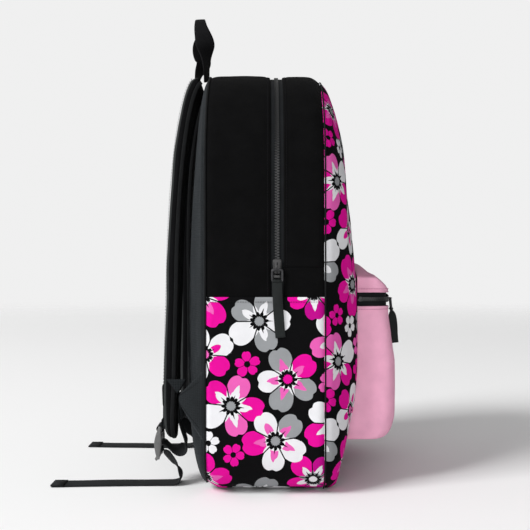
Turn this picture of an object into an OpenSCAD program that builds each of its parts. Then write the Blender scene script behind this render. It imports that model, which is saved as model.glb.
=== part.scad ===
// School backpack. Millimetres. X across the bag, -Y the front, +Y the wearer's side, +Z up.
// The origin is on the floor half way across the bag, rear_y in front of the rear seam.

/* [Bag] */
// Width of the bag across the back panel
bag_w = 320; // [300:5:340]
// Height of the bag at the middle of its arched top
bag_h = 457; // [440:1:470]
// Depth of the side gusset from seam to seam
gusset_d = 124.5; // [118:0.5:130]
// Distance of the rear seam behind the origin
rear_y = 60.5; // [58:0.5:64]
// Radius of the two top corners of the arch
top_r = 120; // [105:1:125]
// Radius of the two bottom corners
bottom_r = 46; // [36:1:48]
// Radius of the gentle crown between the top corners
crown_r = 700; // [600:10:900]
// Thickness of the shell fabric with its backing
fabric_t = 2; // [1.8:0.1:2.2]
// How far the front panel bulges in front of its seam
front_bulge = 36.5; // [34:0.5:40]
// How far the padded back panel bulges behind its seam
back_bulge = 27; // [24:1:28]

/* [Main zipper] */
// Distance of the main zipper in front of the origin
zip_y = 14; // [13:0.1:18]
// Width of the gap between the gusset strips that shows the zipper
zip_gap = 13.6; // [13:0.1:15]
// Height of the lower ends of the zipper's chain
zip_end_z = 238; // [236:1:240]
// Height of the side pockets' top hem
side_pocket_z = 207; // [190:1:210]

/* [Front pocket] */
// Width of the front pocket
pocket_w = 232; // [220:1:236]
// Depth of the front pocket in front of the front panel, at its zipper
pocket_d = 36; // [34:1:38]
// How much further forward the pocket bulges below its zipper
pocket_swell = 8; // [6:1:8]
// Height of the pocket's bottom edge above the floor
pocket_z0 = 51; // [50:1:60]
// Height of the middle of the pocket's zipper
pocket_zip_z = 203.2; // [202:0.1:204]
// Height where the pocket's sloping top meets the front panel
pocket_z1 = 237; // [234:1:237]
// Radius of the pocket's two front corners
pocket_r = 18; // [14:1:22]

/* [Shoulder straps] */
// Thickness of a padded shoulder strap
strap_t = 13; // [11:0.5:14]
// Width of a shoulder strap at the shoulder
strap_w = 66; // [60:1:70]
// Width of the adjusting webbing
web_w = 25; // [20:1:25]
// Thickness of the adjusting webbing
web_t = 1.6; // [1.2:0.1:1.6]

/* [Carry handle] */
// Width across the carry handle's loop
handle_w = 100; // [90:1:110]
// Height of the carry handle above the bag's top
handle_h = 75; // [65:1:80]

/* [Hidden] */
$fn = 48;

arc_steps = 8;
back_y = rear_y;
front_y = rear_y - gusset_d;
zip_rear_y = -zip_y + zip_gap / 2;
zip_front_y = -zip_y - zip_gap / 2;
fold_gap = 1;
tape_t = 1;
row_gap = 0.8;
row_w = 3.4;
tooth_in = 0.6;
tape_hidden = 9;
far = 1000;

// ---------- shared outlines ----------

// Points of an arc about c, from angle a0 to a1.
function arc(c, r, a0, a1) =
    [for (i = [0:arc_steps]) let (a = a0 + (a1 - a0) * i / arc_steps) c + r * [cos(a), sin(a)]];

// Outline of an arched panel, anticlockwise: its half width, bottom and top, and the radii of its top
// corners, bottom corners and crown.
function arched(hw, z0, z1, rt, rb, rc) =
    let (
        cx = hw - rt,
        cz = z1 - rc + sqrt((rc - rt) * (rc - rt) - cx * cx),
        lean = asin(cx / (rc - rt))
    )
    concat(
        arc([hw - rb, z0 + rb], rb, -90, 0),
        arc([cx, cz], rt, 0, 90 - lean),
        arc([0, z1 - rc], rc, 90 - lean / 2, 90 + lean / 2),
        arc([-cx, cz], rt, 90 + lean, 180),
        arc([rb - hw, z0 + rb], rb, 180, 270)
    );

// The bag's own arch, moved inwards by d.
function bag_arch(d = 0) =
    arched(bag_w / 2 - d, d, bag_h - d, top_r - d, bottom_r - d, crown_r - d);

// A flat shape in X and Z, made y0 to y1 deep.
module deep(y0, y1) {
    translate([0, y1, 0]) rotate([90, 0, 0]) linear_extrude(y1 - y0) children();
}

// A flat shape in Y and Z, made x0 to x1 wide.
module wide(x0, x1) {
    translate([x0, 0, 0]) rotate([90, 0, 90]) linear_extrude(x1 - x0) children();
}

// A band of the arch between the insets d0 and d1, from y0 to y1, kept between the heights z0 and z1.
module band(d0, d1, y0, y1, z0, z1) {
    deep(y0, y1) intersection() {
        difference() {
            polygon(bag_arch(d0));
            polygon(bag_arch(d1));
        }
        translate([-far / 2, z0]) square([far, z1 - z0]);
    }
}

// The part of its children between two heights.
module between(z0, z1) {
    intersection() {
        children();
        translate([-far / 2, -far / 2, z0]) cube([far, far, z1 - z0]);
    }
}

module on_side(side) {
    if (side == "left") children();
    else mirror([1, 0, 0]) children();
}

// ---------- domed panels ----------

// Share of the bulge, side inset, top inset, bottom inset of each slice of the front panel.
front_slices = [
    [0, 0, 0, 0], [0.3, 7, 23, 1], [0.64, 20, 72, 34],
    [0.75, 26, 114, 52], [0.93, 36, 160, 74], [1, 42, 190, 92]
];
// The same for the back panel, which is softer towards its sides.
back_slices = [[0, 0, 0, 0], [0.26, 9, 14, 5], [0.56, 27, 60, 20], [0.82, 50, 115, 60], [1, 85, 190, 130]];

module slice(y, s, d) {
    side = s[1] + d;
    corner_r = top_r - side * 0.8;
    deep(y - 0.05, y + 0.05)
        polygon(arched(bag_w / 2 - side, s[3] + d, bag_h - s[2] - d, corner_r, bottom_r - d, crown_r));
}

// A domed panel from its seam at y0, bulging by bulge, which is negative towards the front. d insets it.
module dome(slices, y0, bulge, d = 0) {
    reach = bulge - sign(bulge) * d;
    hull() for (s = slices) slice(y0 + s[0] * reach, s, d);
}

module front_shell(z0, z1) {
    color([0.08, 0.08, 0.09]) between(z0, z1) difference() {
        dome(front_slices, front_y - 0.05, -front_bulge);
        dome(front_slices, front_y + 0.2, -front_bulge - 0.2, fabric_t);
    }
}

module front_panel_base() {
    front_shell(0, zip_end_z - fold_gap);
}

module front_panel_top() {
    front_shell(zip_end_z, far);
}

module back_panel_cover() {
    color([0.2, 0.21, 0.22]) difference() {
        dome(back_slices, back_y + 0.05, back_bulge);
        dome(back_slices, back_y - 0.2, back_bulge + 0.2, fabric_t);
    }
}

// The foam is a little smaller than the cover's hollow.
foam_clear = 1;
module back_panel_foam() {
    color([0.75, 0.75, 0.7]) dome(back_slices, back_y + 0.1, back_bulge - 0.2, fabric_t + foam_clear);
}

module back_panel_lining() {
    color([0.1, 0.1, 0.1]) deep(back_y - 1.6, back_y) polygon(bag_arch(fabric_t + 0.1));
}

// ---------- gusset, bottom and side pockets ----------

bottom_seam_z = 12;

module rear_gusset() {
    color([0.06, 0.06, 0.06]) band(0, fabric_t, zip_rear_y, back_y, side_pocket_z, far);
}

module front_gusset() {
    color([0.06, 0.06, 0.06]) band(0, fabric_t, front_y, zip_front_y, zip_end_z, far);
}

// The side behind the slip pocket, with the short fixed stretch of gusset in front of the zipper's end.
module lower_gusset(side) {
    color([0.06, 0.06, 0.06]) on_side(side) intersection() {
        union() {
            band(0, fabric_t, front_y, back_y, bottom_seam_z, side_pocket_z);
            band(0, fabric_t, front_y, zip_front_y, side_pocket_z - 1, zip_end_z - fold_gap);
        }
        translate([-far, -far / 2, 0]) cube([far, far, far]);
    }
}

module bottom_panel() {
    color([0.8, 0.1, 0.5]) band(0, fabric_t, front_y, back_y, 0, bottom_seam_z);
}

// A flat slip pocket: a panel held off the gusset by its sewn front, rear and lower edges.
pocket_air = 0.6;
side_pocket_t = 1.2;
module side_pocket(side) {
    rim = 3;
    color([0.8, 0.1, 0.5]) on_side(side) intersection() {
        difference() {
            band(-pocket_air - side_pocket_t, 0, front_y, back_y, bottom_seam_z, side_pocket_z);
            band(-pocket_air, -0.01, front_y + rim, back_y - rim, bottom_seam_z + rim, far);
        }
        translate([-far, -far / 2, 0]) cube([far, far, far]);
    }
}

// ---------- inside the bag ----------

binding_w = 6;
module rear_seam_binding() {
    color([0.15, 0.15, 0.15])
        band(fabric_t + 0.1, fabric_t + 1.3, back_y - 1.7 - binding_w, back_y - 1.7, 0, far);
}

module front_seam_binding(z0, z1) {
    color([0.15, 0.15, 0.15])
        band(fabric_t + 0.1, fabric_t + 1.3, front_y + 0.3, front_y + 0.3 + binding_w, z0, z1);
}

sleeve_w = 280;
sleeve_h = 285;
sleeve_z = 16;
sleeve_t = 3.5;
sleeve_y = back_y - 12;
module inner_sleeve() {
    rim = 4;
    color([0.12, 0.12, 0.12]) {
        translate([-sleeve_w / 2, sleeve_y, sleeve_z]) difference() {
            cube([sleeve_w, back_y - 1.7 - sleeve_y, sleeve_h]);
            translate([rim, sleeve_t, rim]) cube([sleeve_w - 2 * rim, far, sleeve_h]);
        }
    }
}

module sleeve_binding() {
    color([0.1, 0.1, 0.1])
        translate([-sleeve_w / 2, sleeve_y - 1, sleeve_z + sleeve_h + 0.1]) cube([sleeve_w, sleeve_t + 2, 8]);
}

// ---------- main zipper ----------

module main_tape_rear() {
    color([0.12, 0.13, 0.13])
        band(fabric_t, fabric_t + tape_t, -zip_y + row_gap, zip_rear_y + tape_hidden, side_pocket_z, far);
}

module main_tape_front() {
    color([0.12, 0.13, 0.13])
        band(fabric_t, fabric_t + tape_t, zip_front_y - tape_hidden, -zip_y - row_gap, zip_end_z, far);
}

// The front tape's two ends below the chain, which stay with the bag.
module main_tape_ends() {
    color([0.12, 0.13, 0.13])
        band(fabric_t, fabric_t + tape_t, zip_front_y - tape_hidden, -zip_y - row_gap,
            side_pocket_z, zip_end_z - fold_gap);
}

module main_teeth_rear() {
    color([0.16, 0.17, 0.17])
        band(tooth_in, fabric_t, -zip_y + row_gap, -zip_y + row_gap + row_w, zip_end_z, far);
}

module main_teeth_front() {
    color([0.16, 0.17, 0.17])
        band(tooth_in, fabric_t, -zip_y - row_gap - row_w, -zip_y - row_gap, zip_end_z, far);
}

// Stops under the two ends of the chain, clamped on the rear tape.
slider_l = 15;
slider_z = 231;
stop_h = 4;
stop_t = 0.9;
stop_w = 7;
module main_stops() {
    color([0.2, 0.2, 0.2]) for (side = ["left", "right"]) on_side(side)
        translate([-bag_w / 2 + tooth_in, -zip_y + row_gap, slider_z - stop_h - 1])
            cube([fabric_t - tooth_in, row_w, stop_h]);
}

plate_w = 9;
plate_t = 1.3;
plate_clear = 0.5;
eye_r = 0.95;
pin_clear = 0.25;
eye_out = 2;

// A slider, drawn with the zipper along +Z, its surface at X = 0 and outwards towards -X. Its nose is down.
module slider_body() {
    inner_x = fabric_t + tape_t + plate_clear;
    outer_x = tooth_in - plate_clear;
    eye_x = outer_x - plate_t;
    eye_z = 4;
    color([0.25, 0.25, 0.26]) difference() {
        union() {
            translate([eye_x, -plate_w / 2, 0]) cube([plate_t, plate_w, slider_l]);
            translate([inner_x, -plate_w / 2, 0]) cube([plate_t, plate_w, slider_l]);
            translate([eye_x, -row_gap / 2, 0.5]) cube([inner_x - eye_x + plate_t, row_gap, 4]);
            translate([eye_x - 2 * eye_out, -1.6, eye_z - 3]) cube([2 * eye_out + 0.1, 3.2, 9]);
        }
        translate([eye_x - eye_out, 0, eye_z]) rotate([90, 0, 0])
            cylinder(r = eye_r + pin_clear, h = 10, center = true);
        translate([eye_x - eye_out - 0.8, -5, eye_z + 2.4]) cube([eye_out + 0.8, 10, 2.2]);
    }
}

// The pull's wire ring, hanging down from its round crossbar on the slider's eye.
// The crossbar is at the origin.
ring_w = 13;
ring_l = 12;
module pull_ring() {
    color([0.35, 0.35, 0.36]) {
        rotate([90, 0, 0]) cylinder(r = eye_r, h = ring_w, center = true);
        for (s = [-1, 1]) translate([0, s * (ring_w / 2 - eye_r), -ring_l])
            cylinder(r = eye_r, h = ring_l);
        translate([0, 0, -ring_l]) rotate([90, 0, 0]) cylinder(r = eye_r, h = ring_w, center = true);
    }
}

// A folded ribbon round the ring's lower bar, length l.
ribbon_w = 9;
ribbon_t = 1.1;
module pull_ribbon(l) {
    r_in = eye_r + 0.2;
    r_out = r_in + ribbon_t;
    color([0.2, 0.2, 0.2]) translate([0, 0, -ring_l]) {
        difference() {
            union() {
                rotate([90, 0, 0]) cylinder(r = r_out, h = ribbon_w, center = true);
                translate([-ribbon_t, -ribbon_w / 2, -l]) cube([2 * ribbon_t, ribbon_w, l]);
            }
            rotate([90, 0, 0]) cylinder(r = r_in, h = ribbon_w + 2, center = true);
        }
    }
}

// Crossbar of the main pull, on the bag's left.
main_eye = [-bag_w / 2 + tooth_in - plate_clear - plate_t - eye_out, -zip_y, slider_z + 4];
// Where the pocket slider parks, and its crossbar.
pocket_front_y = front_y - front_bulge - pocket_d;
pocket_park_x = -pocket_w / 2 + 28;
pocket_eye = [pocket_park_x, pocket_front_y + tooth_in - plate_clear - plate_t - eye_out, pocket_zip_z];
// The pocket's pull leans out by this angle over the bulge below it.
pull_lean = 6;

module main_slider() {
    translate([-bag_w / 2, -zip_y, slider_z]) slider_body();
}

module main_pull_ring() {
    translate(main_eye) pull_ring();
}

module main_pull_ribbon() {
    translate(main_eye) pull_ribbon(58);
}

// ---------- front pocket ----------

pocket_back_y = front_y - front_bulge - 0.4;

// The pocket's outline seen from above, moved inwards by d and open towards the front panel.
function pocket_plan(d, back = pocket_back_y, front = pocket_front_y) =
    let (hw = pocket_w / 2 - d, y = front + d, r = pocket_r - d)
    concat(
        [[-hw, back]],
        arc([-hw + r, y + r], r, 180, 270),
        arc([hw - r, y + r], r, 270, 360),
        [[hw, back]]
    );

// Its side view below the zipper: a rounded lower front edge, a full belly and a lean back to the zipper.
pocket_toe_r = 22;
pocket_root_y = front_y - 14;
pocket_belly_y = pocket_front_y - pocket_swell;
pocket_belly_z = 130;
function pocket_side(d, top) = concat(
    [[pocket_root_y, top], [pocket_root_y, pocket_z0 + d]],
    arc([pocket_belly_y + pocket_toe_r, pocket_z0 + pocket_toe_r], pocket_toe_r - d, 270, 180),
    [[pocket_belly_y + d, pocket_belly_z], [pocket_front_y + d, top]]
);

module pocket_band(d0, d1, z0, z1) {
    translate([0, 0, z0]) linear_extrude(z1 - z0) difference() {
        polygon(pocket_plan(d0));
        polygon(pocket_plan(d1));
    }
}

pocket_gap = 15.6;
pocket_lip_z = pocket_zip_z + pocket_gap / 2;

module pocket_mass(d, top) {
    intersection() {
        translate([0, 0, pocket_z0]) linear_extrude(top - pocket_z0)
            polygon(pocket_plan(d, pocket_root_y, pocket_belly_y));
        wide(-pocket_w / 2, pocket_w / 2) polygon(pocket_side(d, top));
    }
}

// Its rear edge follows the front panel.
module pocket_body() {
    top = pocket_zip_z - pocket_gap / 2;
    color([0.85, 0.55, 0.68]) difference() {
        pocket_mass(0, top);
        pocket_mass(fabric_t, top + 1);
        dome(front_slices, front_y - 0.2, -front_bulge);
    }
}

// The sloping top above the zipper, from a short upright hem back to the front panel.
hem_h = 3;
module pocket_slope(d, drop) {
    hull() {
        translate([0, 0, pocket_lip_z + hem_h - 0.1 - drop]) linear_extrude(0.1) polygon(pocket_plan(d));
        for (z = [pocket_z1 - drop - 2 * d, pocket_lip_z + hem_h - 0.1 - drop])
            translate([d - pocket_w / 2, pocket_back_y - 2, z]) cube([pocket_w - 2 * d, 2, 0.1]);
    }
}

module pocket_top() {
    color([0.85, 0.55, 0.68]) {
        pocket_band(0, fabric_t, pocket_lip_z, pocket_lip_z + hem_h - 0.1);
        difference() {
            pocket_slope(0, 0);
            translate([0, 0.2, 0]) pocket_slope(fabric_t, 0.2);
            translate([0, 0, pocket_lip_z - 1]) linear_extrude(hem_h + 1.2) polygon(pocket_plan(fabric_t));
        }
    }
}

tape_h = 12;
module pocket_tape_lower() {
    color([0.12, 0.13, 0.13])
        pocket_band(fabric_t, fabric_t + tape_t, pocket_zip_z - tape_h, pocket_zip_z - row_gap / 2);
}

module pocket_tape_upper() {
    color([0.12, 0.13, 0.13])
        pocket_band(fabric_t, fabric_t + tape_t, pocket_zip_z + row_gap / 2, pocket_lip_z + 0.6);
}

module pocket_teeth_lower() {
    color([0.16, 0.17, 0.17])
        pocket_band(tooth_in, fabric_t, pocket_zip_z - row_gap / 2 - row_w, pocket_zip_z - row_gap / 2);
}

module pocket_teeth_upper() {
    color([0.16, 0.17, 0.17])
        pocket_band(tooth_in, fabric_t, pocket_zip_z + row_gap / 2, pocket_zip_z + row_gap / 2 + row_w);
}

module pocket_stops() {
    color([0.2, 0.2, 0.2]) for (side = ["left", "right"]) on_side(side)
        translate([-pocket_w / 2 + tooth_in - stop_t, pocket_back_y - 7, pocket_zip_z - stop_w / 2])
            cube([stop_t, stop_h, stop_w]);
}

// The pocket slider lies along X with its nose to -X, and carries its eye on the outside.
module pocket_slider() {
    inner_y = fabric_t + tape_t + plate_clear;
    outer_y = tooth_in - plate_clear;
    eye_y = outer_y - plate_t;
    color([0.25, 0.25, 0.26]) translate([pocket_park_x, pocket_front_y, pocket_zip_z]) difference() {
        union() {
            for (y = [eye_y, inner_y])
                translate([-slider_l / 2, y, -plate_w / 2]) cube([slider_l, plate_t, plate_w]);
            translate([-slider_l / 2 + 0.5, eye_y, -row_gap / 4])
                cube([4, inner_y - eye_y + plate_t, row_gap / 2]);
            translate([-1.6, eye_y - 2 * eye_out, -3]) cube([3.2, 2 * eye_out + 0.1, 8]);
        }
        translate([0, eye_y - eye_out, 0]) rotate([0, 90, 0])
            cylinder(r = eye_r + pin_clear, h = 10, center = true);
        translate([-5, eye_y - eye_out - 0.8, 2]) cube([10, eye_out + 0.8, 1.8]);
    }
}

module pocket_pull_ring() {
    translate(pocket_eye) rotate([-pull_lean, 0, 0]) rotate([0, 0, 90]) pull_ring();
}

module pocket_pull_ribbon() {
    translate(pocket_eye) rotate([-pull_lean, 0, 0]) rotate([0, 0, 90]) pull_ribbon(38);
}

// ---------- carry handle ----------

handle_y = 68;
handle_z = bag_h + 1;
handle_t = 2.4;
handle_turn_r = 4.5;

// The handle's loop seen from behind, moved inwards by d, down to the height z.
function handle_loop(d, z) =
    let (hw = handle_w / 2, r = 22, turn_z = handle_z + handle_h - r)
    concat(
        [[d - hw, z]],
        arc([r - hw, turn_z], r - d, 180, 90),
        arc([hw - r, turn_z], r - d, 90, 0),
        [[hw - d, z]]
    );

// A webbing loop whose middle is folded to a narrow grip: a flat arch cut to a leaf-shaped side view.
// Its two roots are rounded about the line that it flops over.
module carry_handle() {
    hw = handle_w / 2;
    top = handle_z + handle_h;
    color([0.08, 0.08, 0.08]) intersection() {
        deep(0, 120) difference() {
            polygon(handle_loop(0, handle_z));
            polygon(handle_loop(handle_t, handle_z - 1));
        }
        wide(-hw - 1, hw + 1) polygon(concat(
            arc([handle_y, handle_z + handle_turn_r], handle_turn_r, 180, 360),
            [[handle_y + 14, handle_z + 18], [handle_y + 16.5, handle_z + 42], [handle_y + 15, top],
                [handle_y + 3, top], [handle_y - 10.5, handle_z + 42]]
        ));
    }
}

// ---------- shoulder straps ----------

// Middle of a strap in side view, as two cubic curves through Y and Z, from the top seam to the lower tip.
strap_a = [[72, 448], [91, 437], [100, 330], [100, 230]];
strap_b = [[100, 230], [100, 160], [103, 95], [100, 52]];
strap_steps = 10;

function cubic(p, t) =
    pow(1 - t, 3) * p[0] + 3 * pow(1 - t, 2) * t * p[1] + 3 * (1 - t) * t * t * p[2] + t * t * t * p[3];

strap_line = concat(
    [for (i = [0:strap_steps]) cubic(strap_a, i / strap_steps)],
    [for (i = [1:strap_steps]) cubic(strap_b, i / strap_steps)]
);

// Unit normal of a line of points at point i, to the right of its direction.
function normal_at(line, i) =
    let (
        a = line[max(0, i - 1)],
        b = line[min(len(line) - 1, i + 1)],
        d = (b - a) / norm(b - a)
    ) [-d[1], d[0]];

// The closed outline of a layer of a line, between the offsets o0 and o1.
function layer(line, o0, o1) = concat(
    [for (i = [0:len(line) - 1]) line[i] + o0 * normal_at(line, i)],
    [for (i = [len(line) - 1:-1:0]) line[i] + o1 * normal_at(line, i)]
);

strap_top_x = 50;
strap_low_x = 98;
strap_tip_z = 52;
strap_len = 396;

// Middle and half width of the left strap in front view, at share s of its height from the top.
function ease(s) = s * s * (3 - 2 * s);
function strap_x(s) = -strap_top_x - (strap_low_x - strap_top_x) * ease(s);
function strap_half(s) =
    let (
        body = strap_w / 2 - 7 * ease(s),
        tip = max(0, (s - 0.93) / 0.07)
    )
    body * sqrt(max(0.04, 1 - tip * tip * 0.9));

function strap_edge(side, d) = [for (i = [0:24]) let (s = i / 24)
    [strap_x(s) + side * (strap_half(s) - d), strap_tip_z + d + (strap_len - d) * (1 - s)]];
function strap_outline(d) = concat(strap_edge(-1, d), [for (i = [24:-1:0]) strap_edge(1, d)[i]]);

module strap_layer(side, o0, o1, shade) {
    color(shade) on_side(side) intersection() {
        wide(-bag_w / 2, 0) polygon(layer(strap_line, o0, o1));
        deep(0, 200) polygon(strap_outline(2.1));
    }
}

half_t = strap_t / 2;
face_t = 2.5;
module strap_face(side) {
    strap_layer(side, half_t - face_t, half_t, [0.17, 0.18, 0.18]);
}

module strap_foam(side) {
    strap_layer(side, face_t + 0.1 - half_t, half_t - face_t - 0.1, [0.75, 0.75, 0.7]);
}

module strap_mesh(side) {
    strap_layer(side, -half_t, face_t - half_t, [0.05, 0.05, 0.05]);
}

module strap_binding(side) {
    color([0.22, 0.23, 0.23]) on_side(side) intersection() {
        wide(-bag_w / 2, 0) polygon(layer(strap_line, -half_t, half_t));
        deep(0, 200) difference() {
            polygon(strap_outline(0));
            polygon(strap_outline(2));
        }
    }
}

// ---------- ladder lock, its loop and webbing ----------

web_x = -99;
lock_y = 112.3;
lock_z = 62;
lock_w = 33;
lock_h = 33;
lock_rail = 3;
bar_r = 2.4;
loop_clear = 0.35;
loop_w = 22;

// The sewn triangle that spreads the lock's pull over the strap's outer face.
module strap_patch(side) {
    color([0.25, 0.26, 0.26]) on_side(side) intersection() {
        wide(-bag_w / 2, 0) polygon(layer(strap_line, half_t + 0.1, half_t + 1.4));
        deep(0, 200) polygon([
            [web_x - 17, 108], [web_x + 17, 108],
            [web_x + loop_w / 2, 86], [web_x - loop_w / 2, 86]
        ]);
    }
}

// The loop of webbing round the lock's top bar, with its tongue sewn over the strap's tip.
module strap_loop(side) {
    r = bar_r + loop_clear;
    color([0.15, 0.15, 0.15]) on_side(side) translate([web_x, lock_y, lock_z]) difference() {
        union() {
            rotate([0, 90, 0]) cylinder(r = r + web_t, h = loop_w, center = true);
            translate([-loop_w / 2, -r - web_t, 0]) cube([loop_w, web_t, 22]);
        }
        rotate([0, 90, 0]) cylinder(r = r, h = loop_w + 2, center = true);
    }
}

// The ladder lock's frame: a round top bar in the strap's loop, then two windows for the webbing.
module ladder_lock(side) {
    color([0.3, 0.3, 0.31]) on_side(side) translate([web_x, lock_y, lock_z]) {
        rotate([0, 90, 0]) cylinder(r = bar_r, h = lock_w, center = true);
        for (x = [-lock_w / 2, lock_w / 2 - lock_rail])
            translate([x, -2, -lock_h]) cube([lock_rail, 4, lock_h]);
        for (z = [-12, -21]) translate([-lock_w / 2, -1.8, z]) cube([lock_w, 3.6, 4]);
        translate([-lock_w / 2, -2, -lock_h]) cube([lock_w, 4, 7]);
    }
}

// Middle line of the adjusting webbing in side view: from the wing, through the lock, down and along the floor.
web_line = [
    [92.4, 84], [92.4, 44], [92.8, 36], [94.5, 31.5], [97.5, 30], [100.5, 31.5], [103, 38], [105, 45],
    [108, 47.5], [112.2, 47.5], [115.4, 46], [115.4, 41], [114.2, 38.5], [111.2, 38.5], [107, 37.5], [104, 31],
    [99, 19], [94, 11], [93.5, 5], [97, 1.8], [104, 0.9], [165, 0.9], [230, 0.9]
];

module webbing(side) {
    color([0.16, 0.16, 0.17]) on_side(side)
        wide(web_x - web_w / 2, web_x + web_w / 2) polygon(layer(web_line, -web_t / 2, web_t / 2));
}

// The triangular wing of fabric in the side seam, bent flat at its tip where the webbing is sewn to it.
wing_seam = [-161.5, 62.5];
wing_bend = [-124, 90.3];
wing_t = 2.4;
module anchor_wing(side) {
    run = wing_bend - wing_seam;
    l = norm(run);
    color([0.2, 0.21, 0.22]) on_side(side) {
        translate([wing_seam[0], wing_seam[1], 0]) rotate([0, 0, atan2(run[1], run[0])])
            rotate([90, 0, 0]) linear_extrude(wing_t, center = true)
                polygon([[0, 134], [0, 73], [l, 60], [l, 100]]);
        deep(wing_bend[1] - wing_t / 2, wing_bend[1] + wing_t / 2) polygon([
            [wing_bend[0] - 0.6, 100], [wing_bend[0] - 0.6, 60],
            [web_x - web_w / 2, 58], [web_x + web_w / 2, 58], [web_x + web_w / 2, 80]
        ]);
    }
}

// ---------- nodes ----------

back_panel_cover();
back_panel_foam();
back_panel_lining();
rear_gusset();
lower_gusset("left");  // lower_gusset_left
lower_gusset("right");  // lower_gusset_right
bottom_panel();
side_pocket("left");  // side_pocket_left
side_pocket("right");  // side_pocket_right
front_panel_base();
front_panel_top();
front_gusset();
rear_seam_binding();
front_seam_binding(0, zip_end_z - fold_gap);  // front_seam_binding_base
front_seam_binding(zip_end_z, far);  // front_seam_binding_top
inner_sleeve();
sleeve_binding();
main_tape_rear();
main_tape_front();
main_tape_ends();
main_teeth_rear();
main_teeth_front();
main_stops();
main_slider();
main_pull_ring();
main_pull_ribbon();
pocket_body();
pocket_top();
pocket_tape_lower();
pocket_tape_upper();
pocket_teeth_lower();
pocket_teeth_upper();
pocket_stops();
pocket_slider();
pocket_pull_ring();
pocket_pull_ribbon();
carry_handle();
strap_face("left");  // strap_left_face
strap_foam("left");  // strap_left_foam
strap_mesh("left");  // strap_left_mesh
strap_binding("left");  // strap_left_binding
strap_patch("left");  // strap_left_patch
strap_loop("left");  // strap_left_loop
strap_face("right");  // strap_right_face
strap_foam("right");  // strap_right_foam
strap_mesh("right");  // strap_right_mesh
strap_binding("right");  // strap_right_binding
strap_patch("right");  // strap_right_patch
strap_loop("right");  // strap_right_loop
ladder_lock("left");  // ladder_lock_left
ladder_lock("right");  // ladder_lock_right
webbing("left");  // webbing_left
webbing("right");  // webbing_right
anchor_wing("left");  // anchor_wing_left
anchor_wing("right");  // anchor_wing_right
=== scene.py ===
"""School backpack: the looks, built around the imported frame. Metres, +Z up, the front on -Y."""
import math
import random
from functools import partial

import bmesh
import bpy
import numpy as np
from mathutils import Matrix, Vector, noise


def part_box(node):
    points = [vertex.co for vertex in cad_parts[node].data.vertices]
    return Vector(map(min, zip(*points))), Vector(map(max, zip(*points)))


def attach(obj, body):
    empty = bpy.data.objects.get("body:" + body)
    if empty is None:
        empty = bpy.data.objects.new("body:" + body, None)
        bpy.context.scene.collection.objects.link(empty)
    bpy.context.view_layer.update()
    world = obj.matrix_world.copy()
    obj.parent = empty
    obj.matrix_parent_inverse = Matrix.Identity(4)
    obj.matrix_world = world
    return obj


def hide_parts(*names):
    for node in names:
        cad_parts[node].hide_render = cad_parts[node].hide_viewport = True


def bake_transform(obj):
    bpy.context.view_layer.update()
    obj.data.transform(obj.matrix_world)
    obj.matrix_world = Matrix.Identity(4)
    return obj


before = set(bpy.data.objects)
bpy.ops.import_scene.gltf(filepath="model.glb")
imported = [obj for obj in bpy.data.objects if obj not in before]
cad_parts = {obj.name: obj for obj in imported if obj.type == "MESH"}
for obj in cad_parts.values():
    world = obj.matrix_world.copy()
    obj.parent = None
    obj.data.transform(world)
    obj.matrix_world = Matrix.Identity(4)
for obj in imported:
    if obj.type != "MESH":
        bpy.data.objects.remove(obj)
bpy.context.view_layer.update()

MM = 0.001
TAU = 2 * math.pi


# ---------- driving dimensions, read from the frame ----------

def lo(node):
    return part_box(node)[0]


def hi(node):
    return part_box(node)[1]


BAG_HALF = hi("rear_gusset").x
BAG_H = hi("rear_gusset").z
BACK_Y = hi("rear_gusset").y
FRONT_Y = lo("front_gusset").y
ZIP_REAR_Y = lo("rear_gusset").y
ZIP_FRONT_Y = hi("front_gusset").y
ZIP_Y = (ZIP_REAR_Y + ZIP_FRONT_Y) / 2
ZIP_END_Z = lo("front_gusset").z
HEM_Z = hi("side_pocket_left").z
FRONT_BULGE = FRONT_Y - lo("front_panel_base").y
BACK_BULGE = hi("back_panel_cover").y - BACK_Y
TOP_R = 120 * MM
BOTTOM_R = 46 * MM
CROWN_R = 700 * MM
BOTTOM_SEAM_Z = hi("bottom_panel").z
PANEL_Y = lo("front_panel_top").y
# The front's cloth bends between the bag and the flap over this stretch.
FOLD = ("bag", "flap", (0, PANEL_Y, ZIP_END_Z + 2 * MM), (0, PANEL_Y, ZIP_END_Z + 74 * MM))
SIDES = ((1, "right"), (-1, "left"))
X = np.array([1.0, 0, 0])


# ---------- curves ----------

def arc(cx, cy, r, a0, a1, n):
    a = np.radians(np.linspace(a0, a1, n, endpoint=False))
    return np.stack([cx + r * np.cos(a), cy + r * np.sin(a)], 1)


def line(p, q, n):
    t = np.linspace(0, 1, n, endpoint=False)[:, None]
    return np.array(p) * (1 - t) + np.array(q) * t


def ease(s):
    return s * s * (3 - 2 * s)


def bell(x, width):
    """1 at x = 0, and next to nothing two widths away."""
    return np.exp(-(x / width) ** 2)


def unit(v):
    return v / np.linalg.norm(v, axis=-1, keepdims=True)


def lengths(points):
    """The length along a polyline at each of its points."""
    return np.concatenate([[0], np.cumsum(np.linalg.norm(np.diff(points, axis=0), axis=1))])


def read_at(s, known, values):
    """Rows of values, given at the lengths known, read at the lengths s."""
    return np.stack([np.interp(s, known, column) for column in values.T], -1)


def both_sides(left, middle):
    """A line that mirrors itself in x: its left part, its middle point and its right part."""
    return np.concatenate([left, [middle], (left * np.array([-1, 1]))[::-1]])


def raised(outline, z):
    """An outline in x and y at the height z, one height or one per point."""
    return np.stack([outline[:, 0], outline[:, 1], np.broadcast_to(z, len(outline))], 1)


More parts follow.
